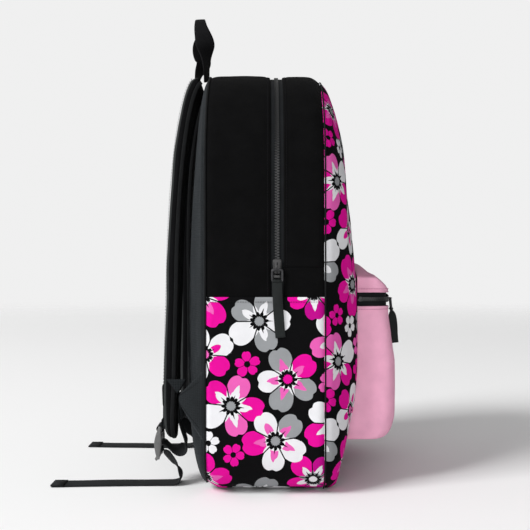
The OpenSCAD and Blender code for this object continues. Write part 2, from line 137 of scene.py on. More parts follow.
def arched(half, z0, z1, top_r, bottom_r, crown_r=CROWN_R):
    """Closed outline of an arched panel in x and z, anticlockwise from the middle of its bottom edge.
    Every outline has the same number of points, so that outlines of different sizes join point to point."""
    cx = half - top_r
    cz = z1 - crown_r + math.sqrt((crown_r - top_r) ** 2 - cx ** 2)
    lean = math.degrees(math.asin(cx / (crown_r - top_r)))
    right = [
        line((0, z0), (half - bottom_r, z0), 26),
        arc(half - bottom_r, z0 + bottom_r, bottom_r, -90, 0, 10),
        line((half, z0 + bottom_r), (half, cz), 60),
        arc(cx, cz, top_r, 0, 90 - lean, 30),
        arc(0, z1 - crown_r, crown_r, 90 - lean, 90, 18),
    ]
    half_path = np.concatenate(right)
    top = np.array([[0, z1]])
    mirrored = half_path[::-1] * np.array([-1, 1])
    return np.concatenate([half_path, top, mirrored[:-1]])


def smooth(xs, ys, x):
    """A smooth curve through the points xs, ys, at x: cubic pieces with slopes that never overshoot."""
    xs, ys, x = np.array(xs, float), np.array(ys, float), np.array(x, float)
    h = np.diff(xs)
    d = np.diff(ys) / h
    m = np.zeros(len(xs))
    m[0], m[-1] = d[0], d[-1]
    for i in range(1, len(xs) - 1):
        if d[i - 1] * d[i] > 0:
            m[i] = 2 * d[i - 1] * d[i] / (d[i - 1] + d[i])
    i = np.clip(np.searchsorted(xs, x) - 1, 0, len(h) - 1)
    t = (x - xs[i]) / h[i]
    return ((2 * t ** 3 - 3 * t ** 2 + 1) * ys[i] + (t ** 3 - 2 * t ** 2 + t) * h[i] * m[i]
            + (3 * t ** 2 - 2 * t ** 3) * ys[i + 1] + (t ** 3 - t ** 2) * h[i] * m[i + 1])


class Path:
    """A polyline in any number of dimensions, read by its length."""

    def __init__(self, points, closed=False):
        self.p = np.array(points, float)
        if closed:
            self.p = np.concatenate([self.p, self.p[:1]])
        self.s = lengths(self.p)
        self.length = self.s[-1]

    def at(self, s):
        return read_at(s, self.s, self.p)

    def tangent(self, s, step=1.5 * MM):
        d = self.at(np.clip(s + step, 0, self.length)) - self.at(np.clip(s - step, 0, self.length))
        return d / np.maximum(np.linalg.norm(d, axis=-1, keepdims=True), 1e-12)


ARCH = Path(arched(BAG_HALF, 0, BAG_H, TOP_R, BOTTOM_R), closed=True)


def arch_at(s):
    """Points of the arch in x and z at the lengths s, counted from the middle of its bottom, with the
    tangents and the outward normals there. Positive lengths run up the right side, negative ones up the
    left."""
    s = np.asarray(s) % ARCH.length
    t = ARCH.tangent(s)
    return ARCH.at(s), t, np.stack([t[..., 1], -t[..., 0]], -1)


def arch_s(z, side):
    """Length along the arch at which it reaches the height z, on the side +1 (right) or -1 (left)."""
    s = np.linspace(0, ARCH.length / 2, 4000)
    return side * float(np.interp(z, ARCH.at(s)[:, 1], s))


def over_top(z):
    """Start and end of the stretch of arch that runs from the height z on the right over the top to the
    left."""
    return arch_s(z, 1), ARCH.length + arch_s(z, -1)


def wobble(points, size, depth, seed=0.0):
    """Smooth noise at each point: hills about size across and up to depth high."""
    offset = Vector((seed, seed * 1.7, -seed))
    return np.array([noise.noise(Vector(p) / size + offset) for p in points]) * depth


# ---------- meshes ----------

def new_mesh(name, verts, faces, uv=None, mats=(), face_mats=None, smooth_shade=True):
    mesh = bpy.data.meshes.new(name)
    mesh.from_pydata([tuple(v) for v in verts], [], [tuple(f) for f in faces])
    for m in mats:
        mesh.materials.append(m)
    if face_mats is not None:
        mesh.polygons.foreach_set("material_index", np.array(face_mats, np.int32))
    layer = mesh.uv_layers.new(name="cloth")
    if uv is not None:
        uv = np.array(uv, np.float32)
        loops = np.zeros(len(mesh.loops), np.int32)
        mesh.loops.foreach_get("vertex_index", loops)
        layer.data.foreach_set("uv", uv[loops].ravel())
    mesh.polygons.foreach_set("use_smooth", [smooth_shade] * len(mesh.polygons))
    mesh.update()
    obj = bpy.data.objects.new(name, mesh)
    bpy.context.scene.collection.objects.link(obj)
    return obj


def grid_faces(rows, cols, wrap_cols=False, wrap_rows=False, start=0):
    faces = []
    for i in range(rows if wrap_rows else rows - 1):
        for j in range(cols if wrap_cols else cols - 1):
            a, b, next_row = i * cols + j, i * cols + (j + 1) % cols, (i + 1) % rows * cols
            faces.append(tuple(start + k for k in (a, b, next_row + (j + 1) % cols, next_row + j)))
    return faces


def caps(rows, cols, start=0):
    """The two end faces of a tube whose rings are a grid's rows."""
    last = start + (rows - 1) * cols
    return [tuple(range(start, start + cols))[::-1], tuple(range(last, last + cols))]


def flipped(faces):
    return [f[::-1] for f in faces]


def sheet(name, grid, uv, mat, thick, inner, flip=False):
    """A sheet of cloth from a grid of points, with its inside in the material inner."""
    faces = grid_faces(*grid.shape[:2])
    obj = new_mesh(name, grid.reshape(-1, 3), flipped(faces) if flip else faces, uv.reshape(-1, 2),
                   [mat, inner])
    modify(obj, "SOLIDIFY", thickness=thick, offset=-1, material_offset=1, use_quality_normals=True)
    return obj


def apply_modifiers(obj):
    bpy.context.view_layer.update()
    graph = bpy.context.evaluated_depsgraph_get()
    mesh = bpy.data.meshes.new_from_object(obj.evaluated_get(graph), preserve_all_data_layers=True,
                                           depsgraph=graph)
    old = obj.data
    obj.modifiers.clear()
    obj.data = mesh
    bpy.data.meshes.remove(old)


def modify(obj, kind, **settings):
    """Adds a modifier and applies it."""
    mod = obj.modifiers.new(kind.lower(), kind)
    for key, value in settings.items():
        setattr(mod, key, value)
    apply_modifiers(obj)


def fix_normals(obj):
    """Turns every face outwards."""
    bm = bmesh.new()
    bm.from_mesh(obj.data)
    bmesh.ops.recalc_face_normals(bm, faces=bm.faces)
    bm.to_mesh(obj.data)
    bm.free()
    obj.data.update()


def join(name, objs):
    """One piece from several."""
    with bpy.context.temp_override(active_object=objs[0], selected_editable_objects=objs):
        bpy.ops.object.join()
    objs[0].name = name
    return objs[0]


def place(obj, slot, body, *nodes):
    """Parents a piece to the empty of the body it rides on and hides the CAD nodes it stands for. slot is not
    used.
    When body gives two bodies with the points where a bend starts and ends, the piece's transform is only
    baked."""
    if isinstance(body, str):
        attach(obj, body)
    else:
        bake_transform(obj)
    if nodes:
        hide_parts(*nodes)


def frames(points, up):
    """Tangent, side and normal at each point of a 3-D path. up is the rough normal, one or one per point."""
    p = np.array(points, float)
    t = unit(np.gradient(p, axis=0))
    side = unit(np.cross(t, np.broadcast_to(np.array(up, float), p.shape)))
    return t, side, np.cross(side, t)


def tube(name, points, profile, up, mat, closed=False, scale=None):
    """Sweeps a closed profile, points in side and normal, along a path of points. scale gives each point's
    two factors, across and through the strip."""
    p, prof = np.array(points, float), np.array(profile, float)
    if closed:
        around = np.concatenate([p[-1:], p, p[:1]])
        up = up if np.ndim(up) == 1 else np.concatenate([up[-1:], up, up[:1]])
        _, side, normal = (a[1:-1] for a in frames(around, up))
    else:
        _, side, normal = frames(p, up)
    scale = np.ones((len(p), 2)) if scale is None else scale
    verts = (p[:, None] + side[:, None] * prof[None, :, :1] * scale[:, None, :1]
             + normal[:, None] * prof[None, :, 1:] * scale[:, None, 1:])
    n, m = len(p), len(prof)
    uv = np.stack(np.broadcast_arrays(lengths(p)[:, None], lengths(prof)[None]), -1)
    faces = flipped(grid_faces(n, m, wrap_cols=True, wrap_rows=closed) + ([] if closed else caps(n, m)))
    return new_mesh(name, verts.reshape(-1, 3), faces, uv.reshape(-1, 2), [mat])


def flat_profile(width, thick, edge=None, n=5):
    """A flat strip's cross-section with rounded edges."""
    r = thick / 2 if edge is None else edge
    w, h = width / 2 - r, thick / 2 - r
    corners = [(w, h, 0), (-w, h, 90), (-w, -h, 180), (w, -h, 270)]
    return np.concatenate([arc(x, y, r, a, a + 90, n) for x, y, a in corners])


def round_profile(r, n=12):
    return arc(0, 0, r, 0, 360, n)


def block(name, centre, size, mat, bevel=0.4 * MM, segments=3):
    """A small moulded block with rounded edges."""
    verts = np.array([[x, y, z] for x in (-1, 1) for y in (-1, 1) for z in (-1, 1)]) * np.array(size) / 2
    faces = [(0, 1, 3, 2), (4, 6, 7, 5), (0, 4, 5, 1), (2, 3, 7, 6), (0, 2, 6, 4), (1, 5, 7, 3)]
    obj = new_mesh(name, verts, faces, None, [mat])
    modify(obj, "BEVEL", width=bevel, segments=segments)
    obj.data.polygons.foreach_set("use_smooth", [True] * len(obj.data.polygons))
    obj.data.transform(Matrix.Translation(Vector(centre)))
    return obj


# Five rings of a stitch: their place along it, their height and their thickness, as shares of its length and
# radius.
STITCH_RINGS = np.array([(-0.5, -0.9, 0.55), (-0.34, 0.35, 0.9), (0, 0.75, 1), (0.34, 0.35, 0.9),
                         (0.5, -0.9, 0.55)])
STITCH_LIFT = 0.05 * MM


def stitches(name, points, normals, mat, pitch=3.2 * MM, length=2.3 * MM, r=0.32 * MM):
    """A row of sewn stitches along a path, each a short thread whose ends sink into the cloth."""
    p, nrm = np.array(points, float), np.array(normals, float)
    s = lengths(p)
    offs, rise, thick = STITCH_RINGS.T * np.array([[length], [r], [r]])
    rings, sides = len(offs), 6
    turn = TAU * np.arange(sides) / sides
    verts, faces = [], []
    for c in np.arange(pitch / 2, s[-1], pitch):
        base = len(verts)
        q, up = read_at(c + offs, s, p), unit(read_at(c + offs, s, nrm))
        t = q[-1] - q[0]
        t /= max(np.linalg.norm(t), 1e-12)
        for k in range(rings):
            side = np.cross(t, up[k])
            verts += [q[k] + up[k] * (rise[k] + STITCH_LIFT + thick[k] * math.sin(w))
                      + side * thick[k] * math.cos(w) for w in turn]
        faces += grid_faces(rings, sides, wrap_cols=True, start=base) + caps(rings, sides, base)
    return new_mesh(name, verts, faces, None, [mat])


# ---------- materials ----------

class Nodes:
    """Short-hand for building a node tree."""

    def __init__(self, tree):
        self.tree = tree

    def add(self, kind, inputs=None, **props):
        n = self.tree.nodes.new("ShaderNode" + kind)
        for k, v in props.items():
            setattr(n, k, v)
        for k, v in (inputs or {}).items():
            self.put(n.inputs[k], v)
        return n

    def put(self, socket, v):
        if isinstance(v, bpy.types.NodeSocket):
            self.tree.links.new(v, socket)
        elif socket.type == "RGBA" and len(v) == 3:
            socket.default_value = (*v, 1)
        else:
            socket.default_value = v

    def math(self, op, a, b=0.0, c=0.0):
        return self.add("Math", {0: a, 1: b, 2: c}, operation=op).outputs[0]

    def wave(self, v, factor=1.0, op="SINE"):
        """The size of the sine of v times factor."""
        return self.math("ABSOLUTE", self.math(op, v if factor == 1.0 else self.math("MULTIPLY", v, factor)))

    def vec(self, op, a, b=(0, 0, 0)):
        n = self.add("VectorMath", {0: a, 1: b}, operation=op)
        return n.outputs["Value" if op == "LENGTH" else "Vector"]

    def scaled(self, a, factor):
        return self.add("VectorMath", {0: a, "Scale": factor}, operation="SCALE").outputs["Vector"]

    def xyz(self, v):
        return self.add("SeparateXYZ", {0: v}).outputs

    def mix(self, fac, a, b, blend="MIX"):
        return self.add("Mix", {0: fac, 6: a, 7: b}, data_type="RGBA", blend_type=blend).outputs[2]

    def shaded(self, colour, light):
        """The colour times a grey."""
        return self.mix(1.0, colour, self.add("CombineXYZ", {0: light, 1: light, 2: light}).outputs[0],
                        "MULTIPLY")

    def range(self, v, a, b, c=0.0, d=1.0, kind="LINEAR"):
        return self.add("MapRange", {0: v, 1: a, 2: b, 3: c, 4: d}, interpolation_type=kind).outputs[0]

    def noise(self, vector, scale, detail=2.0):
        return self.add("TexNoise", {"Vector": vector, "Scale": scale, "Detail": detail,
                                     "Roughness": 0.5}).outputs[0]


M = {}


def surface(key, name, colour, kind, bump, sheen=0.0, tint=(1, 1, 1), distance=0.4 * MM, metal=0.0, coat=0.0,
            **made):
    """Adds a Principled material to M. kind, with the settings made, builds its colour, roughness and
    height."""
    mat = bpy.data.materials.new(name)
    mat.use_nodes = True
    n = Nodes(mat.node_tree)
    bsdf = mat.node_tree.nodes["Principled BSDF"]
    look = kind(n, colour, **made)
    relief = n.add("Bump", {"Height": look["height"], "Strength": bump, "Distance": distance})
    for socket, value in (("Base Color", look["colour"]), ("Roughness", look.get("rough", 0.8)),
                          ("Metallic", metal), ("Specular IOR Level", look.get("specular", 0.045)),
                          ("Sheen Weight", sheen), ("Sheen Roughness", 0.4), ("Sheen Tint", tint),
                          ("Coat Weight", coat), ("Normal", relief.outputs[0])):
        n.put(bsdf.inputs[socket], value)
    mat.diffuse_color = (*(MAGENTA if callable(colour) else colour), 1)
    M[key] = mat


def cloth_uv(n):
    return n.add("UVMap", uv_map="cloth").outputs[0]


def weave(n, uv, pitch):
    """Height of a plain weave with the given thread pitch: threads pass over and under in turn."""
    s = n.xyz(n.scaled(uv, math.pi / pitch))
    check = n.add("TexChecker", {"Vector": n.scaled(uv, 1 / pitch), "Scale": 1.0})
    return n.add("Mix", {0: check.outputs["Fac"], 2: n.wave(s[0]), 3: n.wave(s[1])},
                 data_type="FLOAT").outputs[0]


def worn(n, colour, vector, amount=0.25, scale=60.0):
    """The colour with a soft, slightly uneven dye."""
    return n.shaded(colour, n.range(n.noise(vector, scale, 3.0), 0.3, 0.7, 1 - amount, 1 + amount))


def woven(n, colour, pitch=0.7 * MM, amount=0.2, thread=0.16):
    """Plain canvas in one colour, or in a colour built from its cloth position, with painted shade between the
    threads and a painted highlight on their tops.
    """
    uv = cloth_uv(n)
    w = weave(n, uv, pitch)
    c = worn(n, colour(n, uv) if callable(colour) else colour, uv, amount)
    slub = n.noise(uv, 900.0)
    # Painted shade between the threads and painted highlight on their tops, from the weave's height; thread
    # sets its strength.
    return {"colour": n.shaded(c, n.range(w, 0.0, 1.0, 1 - thread, 1 + thread * 0.6)),
            "height": n.math("ADD", w, n.math("MULTIPLY", slub, 0.6)),
            "rough": n.range(slub, 0.3, 0.7, 0.77, 0.91)}


def ribbed(n, colour, pitch=1.3 * MM, axis=0):
    """Ribbed webbing, binding and ribbon: fine ribs across the strip, with painted shade in the troughs between
    ribs and a painted highlight on their crests.
    """
    uv = cloth_uv(n)
    s = n.xyz(uv)
    ribs, cross = n.wave(s[axis], math.pi / pitch), n.wave(s[1 - axis], math.pi / (pitch * 0.8))
    # Painted shade in the troughs between ribs and painted highlight on their crests.
    return {"colour": n.shaded(worn(n, colour, uv, 0.18), n.range(ribs, 0, 1, 0.72, 1.15)),
            "height": n.math("ADD", ribs, n.math("MULTIPLY", cross, 0.5)),
            "rough": n.range(cross, 0, 1, 0.6, 0.8)}


def spacer(n, colour, cell=2.6 * MM):
    """Spacer mesh: rows of small rounded holes in a soft knit, with painted shade in the holes and a slight
    painted highlight on the knit between them.
    """
    uv = cloth_uv(n)
    cells = n.add("TexVoronoi", {"Vector": uv, "Scale": 1 / cell, "Randomness": 0.12}, feature="F1")
    hole = n.range(cells.outputs["Distance"], 0.1, 0.42, 0.0, 1.0, "SMOOTHSTEP")
    # Painted shade in the holes, and a slight painted highlight on the knit between them.
    return {"colour": n.shaded(worn(n, colour, uv, 0.15, 35.0), n.range(hole, 0, 1, 0.55, 1.12)),
            "height": n.math("ADD", hole, n.math("MULTIPLY", n.noise(uv, 2500.0, 1.0), 0.3))}


def plastic(n, colour, grain=1800.0):
    """Moulded plastic or enamel: fine grain, and a painted highlight on its sharp outer edges."""
    obj = n.add("TexCoord").outputs["Object"]
    g = n.noise(obj, grain)
    # Painted highlight: the sharp outer edges are made lighter in colour.
    edge_highlight = n.range(n.add("NewGeometry").outputs["Pointiness"], 0.52, 0.62, 0.0, 0.35)
    c = n.mix(edge_highlight, colour, tuple(min(1, x * 2.4 + 0.03) for x in colour))
    return {"colour": worn(n, c, obj, 0.12, 300.0), "height": g, "rough": n.range(g, 0.3, 0.7, 0.36, 0.52),
            "specular": 0.5}


# ---------- the floral print ----------

TILE = 196 * MM
PETALS = 5
BLACK = (0.0028, 0.0028, 0.0032)
MAGENTA = (0.64, 0.004, 0.265)
DEEP = (0.42, 0.003, 0.21)
PINK = (0.66, 0.10, 0.38)
WHITE = (0.66, 0.66, 0.68)
GREY = (0.25, 0.26, 0.27)


def flower_group():
    """Masks of one five-petal flower. Inputs: cloth position, centre, radius, turn, and how round its petals
    are."""
    g = bpy.data.node_groups.new("five_petals", "ShaderNodeTree")
    for name, kind in (("P", "Vector"), ("Centre", "Vector"), ("Radius", "Float"), ("Turn", "Float"),
                       ("Notch", "Float")):
        g.interface.new_socket(name, in_out="INPUT", socket_type="NodeSocket" + kind)
    n = Nodes(g)
    add, sub, mul, mad, top, under = (partial(n.math, op) for op in (
        "ADD", "SUBTRACT", "MULTIPLY", "MULTIPLY_ADD", "MAXIMUM", "LESS_THAN"))

    def fade(v, rate):
        """1 at v = 0, falling to 0 at the given rate."""
        return top(sub(1.0, mul(v, rate)), 0.0)

    given = g.nodes.new("NodeGroupInput").outputs
    repeat = n.scaled(n.vec("SUBTRACT", given["P"], given["Centre"]), 1 / TILE)
    cell = n.vec("FRACTION", n.vec("ADD", repeat, (0.5, 0.5, 0)))
    flat = n.vec("MULTIPLY", n.scaled(n.vec("SUBTRACT", cell, (0.5, 0.5, 0)), TILE), (1, 1, 0))
    r = n.math("DIVIDE", n.vec("LENGTH", flat), given["Radius"])
    xy = n.xyz(flat)
    angle = add(n.math("ARCTAN2", xy[1], xy[0]), given["Turn"])
    t = mul(angle, PETALS / TAU)
    k = n.math("FLOOR", t)
    a = mul(sub(n.math("FRACT", t), 0.5), 2.0)
    # Each petal leans and has its own length.
    own = n.math("SINE", mad(k, 2.4, given["Turn"]))
    side = n.math("ABSOLUTE", mad(own, 0.1, a))
    dent = mul(fade(side, 5.0), 0.06)
    edge = sub(1.0, mul(n.math("POWER", side, 2.6), given["Notch"]))
    edge = mul(sub(edge, dent), mad(own, 0.05, 0.97))
    gap = mul(sub(1.0, n.math("ABSOLUTE", a)), r)
    whole = top(n.math("GREATER_THAN", gap, 0.03), under(r, 0.16))
    spike = n.wave(angle, 5.5, "COSINE")
    ragged = n.math("ABSOLUTE", n.math("SINE", mad(angle, 8.5, own)))
    flame = top(mad(ragged, 0.16, sub(1.0, mul(side, 1.45))), 0.0)
    point = fade(sub(1.0, side), 3.2)
    reach = mad(spike, 0.09, mad(fade(side, 8.0), 0.14, 0.2))
    masks = {
        "Petal": mul(under(r, edge), whole),
        "Which": n.math("DIVIDE", add(n.math("FLOORED_MODULO", k, float(PETALS)), 0.5), float(PETALS)),
        "Mark": under(r, mad(flame, 0.36, 0.25)),
        "Star": under(r, mad(point, 0.2, 0.3)),
        "Eye": under(r, reach),
        "Dot": under(r, mad(ragged, 0.035, 0.115)),
        "Tip": r,
    }
    for name in masks:
        g.interface.new_socket(name, in_out="OUTPUT", socket_type="NodeSocketFloat")
    result = g.nodes.new("NodeGroupOutput")
    for name, value in masks.items():
        g.links.new(value, result.inputs[name])
    return g


def scatter(rng, radii, rounds=400):
    """Centres of the flowers in one repeat of the print, pushed apart until their circles hardly touch."""
    p = np.array([[rng.uniform(0, TILE), rng.uniform(0, TILE)] for _ in radii])
    reach = np.array(radii)
    for _ in range(rounds):
        d = p[:, None] - p[None]
        d = (d / TILE + 0.5) % 1.0 * TILE - TILE / 2
        dist = np.linalg.norm(d, axis=2) + np.eye(len(p)) * 10
        over = np.maximum((reach[:, None] + reach[None]) - dist, 0)
        p = (p + 0.35 * (d / dist[..., None] * over[..., None]).sum(1)) % TILE
    return p


FLOWER = flower_group()
BIG_R = 32.5 * MM
SMALL_R = 13 * MM
BIG_LOOKS = [
    ([MAGENTA, MAGENTA, MAGENTA, MAGENTA, MAGENTA], PINK, GREY),
    ([GREY, MAGENTA, GREY, WHITE, GREY], PINK, MAGENTA),
    ([WHITE, PINK, PINK, WHITE, PINK], WHITE, BLACK),
    ([WHITE, WHITE, MAGENTA, WHITE, WHITE], MAGENTA, PINK),
    ([MAGENTA, WHITE, MAGENTA, PINK, MAGENTA], WHITE, WHITE),
    ([GREY, GREY, WHITE, GREY, WHITE], WHITE, GREY),
    ([PINK, MAGENTA, PINK, MAGENTA, WHITE], WHITE, GREY),
    ([MAGENTA, MAGENTA, DEEP, MAGENTA, DEEP], WHITE, WHITE),
    ([GREY, WHITE, MAGENTA, WHITE, WHITE], PINK, GREY),
]
SMALL_LOOKS = [PINK, MAGENTA, GREY, WHITE, MAGENTA, PINK, GREY, MAGENTA, WHITE]


def print_colour(n, uv):
    """The floral print: big mixed-colour flowers with spiky dark eyes, and small plain ones between them."""
    rng = random.Random(11)
    radii = [BIG_R + 0.5 * MM] * len(BIG_LOOKS) + [SMALL_R + 1.5 * MM] * len(SMALL_LOOKS)
    colour = BLACK
    for i, c in enumerate(scatter(rng, radii)):
        big = i < len(BIG_LOOKS)
        flower = n.add("Group", None, node_tree=FLOWER)
        for key, value in (("P", uv), ("Centre", (c[0], c[1], 0)),
                           ("Radius", (BIG_R if big else SMALL_R) * rng.uniform(0.93, 1.07)),
                           ("Turn", rng.uniform(0.3, 6.0)), ("Notch", 0.46 if big else 0.5)):
            n.put(flower.inputs[key], value)
        masks = flower.outputs
        if big:
            petals, mark, dot = BIG_LOOKS[i]
            ramp = n.add("ValToRGB", {0: masks["Which"]})
            ramp.color_ramp.interpolation = "CONSTANT"
            while len(ramp.color_ramp.elements) < PETALS:
                ramp.color_ramp.elements.new(0.5)
            for k, (element, petal) in enumerate(zip(ramp.color_ramp.elements, petals)):
                element.position = k / PETALS
                element.color = (*petal, 1)
            face = ramp.outputs[0]
            for key, paint in (("Mark", mark), ("Star", WHITE if dot != WHITE else GREY), ("Eye", BLACK),
                               ("Dot", dot)):
                face = n.mix(masks[key], face, paint)
        else:
            face = n.mix(n.math("LESS_THAN", masks["Tip"], 0.24), SMALL_LOOKS[i - len(BIG_LOOKS)], BLACK)
        colour = n.mix(masks["Petal"], colour, face)
    return colour


def make_materials():
    fine = 0.1 * MM
    surface("black", "black_canvas", (0.0024, 0.0024, 0.0026), woven, 0.35, 0.008)
    surface("print", "floral_print", print_colour, woven, 0.3, 0.006, amount=0.04, thread=0.07)
    surface("pink", "pink_canvas", (0.76, 0.378, 0.52), woven, 0.3, 0.01, (1, 0.85, 0.92), amount=0.05,
            thread=0.06)
    surface("back", "back_mesh", (0.0122, 0.0139, 0.0152), spacer, 0.55, 0.05, (0.85, 0.93, 1), 0.7 * MM)
    surface("strap", "strap_fabric", (0.023, 0.025, 0.025), woven, 0.4, 0.04, pitch=0.9 * MM)
    surface("strap_mesh", "strap_mesh", (0.0035, 0.0035, 0.004), spacer, 0.5, 0.01, cell=2.2 * MM)
    surface("binding", "binding_tape", (0.0085, 0.009, 0.0095), ribbed, 0.4, 0.02)
    surface("webbing", "webbing", (0.013, 0.014, 0.015), ribbed, 0.5, 0.02, pitch=1.6 * MM)
    surface("handle", "handle_webbing", (0.0060, 0.0060, 0.0066), ribbed, 0.5, 0.01, pitch=1.6 * MM)
    surface("ribbon", "ribbon", (0.016, 0.018, 0.018), ribbed, 0.5, 0.02, pitch=1.1 * MM)
    surface("tape", "zipper_tape", (0.010, 0.011, 0.012), ribbed, 0.4, 0.02, pitch=1.0 * MM, axis=1)
    surface("lining", "lining", (0.020, 0.020, 0.022), woven, 0.25, 0.05, pitch=0.5 * MM)
    surface("thread_black", "thread_black", (0.009, 0.009, 0.010), woven, 0.2)
    surface("thread_pink", "thread_pink", (0.40, 0.13, 0.24), woven, 0.2)
    surface("teeth", "zipper_teeth", (0.007, 0.0075, 0.008), plastic, 0.15, distance=fine)
    surface("slider", "slider_enamel", (0.008, 0.008, 0.0085), plastic, 0.12, distance=fine, metal=0.3,
            coat=0.2)
    surface("ring", "ring_wire", (0.035, 0.035, 0.037), plastic, 0.1, distance=fine, metal=1.0, grain=2500.0)
    surface("lock", "lock_plastic", (0.085, 0.086, 0.086), plastic, 0.25, distance=0.15 * MM)


make_materials()


# ---------- gussets, bottom and side pockets ----------

CLOTH = 1.5 * MM


def seam_dip(y, seams, width=2.6 * MM, depth=1.4 * MM):
    """How deep the cloth dips into the seams at the positions y."""
    return sum(depth * bell(y - s, width) for s in seams)


def seam_roll(y, z):
    """How far the cloth rolls down into the front seam along the top, and up into the rear seam along the
    bottom."""
    top = 6 * MM * np.clip((z - BAG_H + TOP_R) / TOP_R, 0, 1) * bell(y - FRONT_Y, 7 * MM)
    low = 7 * MM * np.clip(1 - z / BOTTOM_R, 0, 1) * bell(y - BACK_Y, 8 * MM)
    return top + low


def arch_sheet(name, s, y, out, mat, inner, thick=CLOTH, ripple=0.5 * MM, seed=1.0, pucker=()):
    """A strip of cloth that follows the arch: s along it, y across it, out proud of it (a number, or a
    function of y and z). pucker lists the seams that gather it."""
    xz, _, nrm = arch_at(s)
    x, z, nx, nz, along = (a[:, None] for a in (*xz.T, *nrm.T, s))
    xx, yy, zz = np.broadcast_arrays(x, y[None], z)
    pts = np.stack([xx, yy, zz], -1).reshape(-1, 3)
    folds = wobble(pts * np.array([1, 1, 0.45]), 34 * MM, ripple, seed).reshape(yy.shape)
    folds += wobble(pts, 11 * MM, ripple * 0.25, seed + 5).reshape(yy.shape)
    for edge in pucker:
        gathers = np.sin(along * TAU / (7.5 * MM) + 2 * np.sin(along * 61))
        folds = folds + 0.22 * MM * bell(yy - edge, 7 * MM) * gathers
    calm = np.minimum(1, np.minimum(yy - y[0], y[-1] - yy) / (8 * MM))
    rise = (out(yy, zz) if callable(out) else out) - seam_roll(yy, zz) + folds * calm
    grid = np.stack([x + nx * rise, yy, z + nz * rise], -1)
    uv = np.stack(np.broadcast_arrays(y[None], along), -1)
    return sheet(name, grid, uv, mat, thick, inner, flip=s[-1] < s[0])


def s_range(a, b, step=2.2 * MM):
    return np.linspace(a, b, max(8, int(abs(b - a) / step)))


def across(y0, y1, step=2.6 * MM, fine=3 * MM):
    """Positions across a strip, closer together near its two edges."""
    mid = np.linspace(y0 + fine, y1 - fine, max(3, int((y1 - y0) / step)))
    return np.concatenate([np.linspace(y0, y0 + fine, 4)[:-1], mid, np.linspace(y1 - fine, y1, 4)[1:]])


def fold_in(y, edge, r=0.9 * MM):
    """How far a folded edge at y = edge rounds inwards."""
    d = np.clip(1 - np.abs(y - edge) / r, 0, 1)
    return r * (1 - np.sqrt(1 - d ** 2 * 0.999))


def pillow(y, y0, y1, high):
    """A swell of the given height between y0 and y1."""
    return high * np.clip(1 - ((2 * y - y0 - y1) / (y1 - y0)) ** 2, 0, 1)


def gusset_rise(seam, lip, fat):
    """The rise of a gusset strip, from its seam to its folded lip at the zipper with the groove of the
    topstitching."""
    groove = lip + math.copysign(3 * MM, seam - lip)

    def rise(y, z):
        return (pillow(y, seam, lip, fat) - seam_dip(y, [seam]) - fold_in(y, lip)
                - 0.5 * MM * bell(y - groove, 1.0 * MM))
    return rise


def gussets():
    """The black strips on both sides of the main zipper and the fixed lower sides behind the slip pockets."""
    cloth = (M["black"], M["lining"])
    rear = arch_sheet("rear_gusset_cloth", s_range(*over_top(HEM_Z - 12 * MM)), across(ZIP_REAR_Y, BACK_Y),
                      gusset_rise(BACK_Y, ZIP_REAR_Y, 1.5 * MM), *cloth, ripple=1.3 * MM, seed=2.0,
                      pucker=(ZIP_REAR_Y, BACK_Y))
    place(rear, "black_canvas", "bag", "rear_gusset")

    end_z = ZIP_END_Z - 0.5 * MM
    strip = (across(FRONT_Y, ZIP_FRONT_Y), gusset_rise(FRONT_Y, ZIP_FRONT_Y, 1.0 * MM), *cloth)
    look = dict(seed=3.0, pucker=(FRONT_Y, ZIP_FRONT_Y))
    front = arch_sheet("front_gusset_cloth", s_range(*over_top(end_z)), *strip, ripple=0.9 * MM, **look)
    place(front, "black_canvas", FOLD, "front_gusset")

    for side, name in SIDES:
        low, mid, top = (arch_s(z, side) for z in (BOTTOM_SEAM_Z, HEM_Z + 2 * MM, end_z))
        part = arch_sheet(f"lower_gusset_{name}_front", s_range(mid - side * 14 * MM, top), *strip,
                          ripple=0.6 * MM, **look)
        back = arch_sheet(f"lower_gusset_{name}_cloth", s_range(low, mid - side * 4 * MM, 4 * MM),
                          across(FRONT_Y, BACK_Y, 6 * MM),
                          lambda y, z: -1.2 * MM - seam_dip(y, [FRONT_Y, BACK_Y]), *cloth, ripple=0.2 * MM,
                          seed=4.0)
        place(join(f"lower_gusset_{name}_cloth", [back, part]), "black_canvas", "bag", f"lower_gusset_{name}")


def seam_cords():
    """The corded rear and front seams: a thin rounded edge of cloth that stands just proud of the arch."""
    everywhere = np.linspace(0, ARCH.length, 420, endpoint=False)
    z = arch_at(everywhere)[0][:, 1]
    for name, y, r, body in (("rear", BACK_Y - 0.2 * MM, 1.15 * MM, "bag"),
                             ("front", FRONT_Y + 0.2 * MM, 0.9 * MM, FOLD)):
        p, _, nrm = arch_frame(everywhere, y, -0.2 * MM - seam_roll(y, z))
        cord = tube(f"{name}_seam_cord", p, round_profile(r, 8), nrm, M["binding"], closed=True)
        place(cord, "binding", body)


def bottom():
    """The printed bottom, between the two lower ends of the gusset."""
    start = FRONT_Y - 2 * MM
    obj = arch_sheet("bottom_panel_cloth",
                     s_range(arch_s(BOTTOM_SEAM_Z, -1), arch_s(BOTTOM_SEAM_Z, 1), 3 * MM),
                     across(start, BACK_Y, 4 * MM), lambda y, z: -0.6 * MM - seam_dip(y, [start, BACK_Y]) * 0.3,
                     M["print"], M["lining"], ripple=0.2 * MM, seed=6.0)
    place(obj, "floral_print", "bag", "bottom_panel")


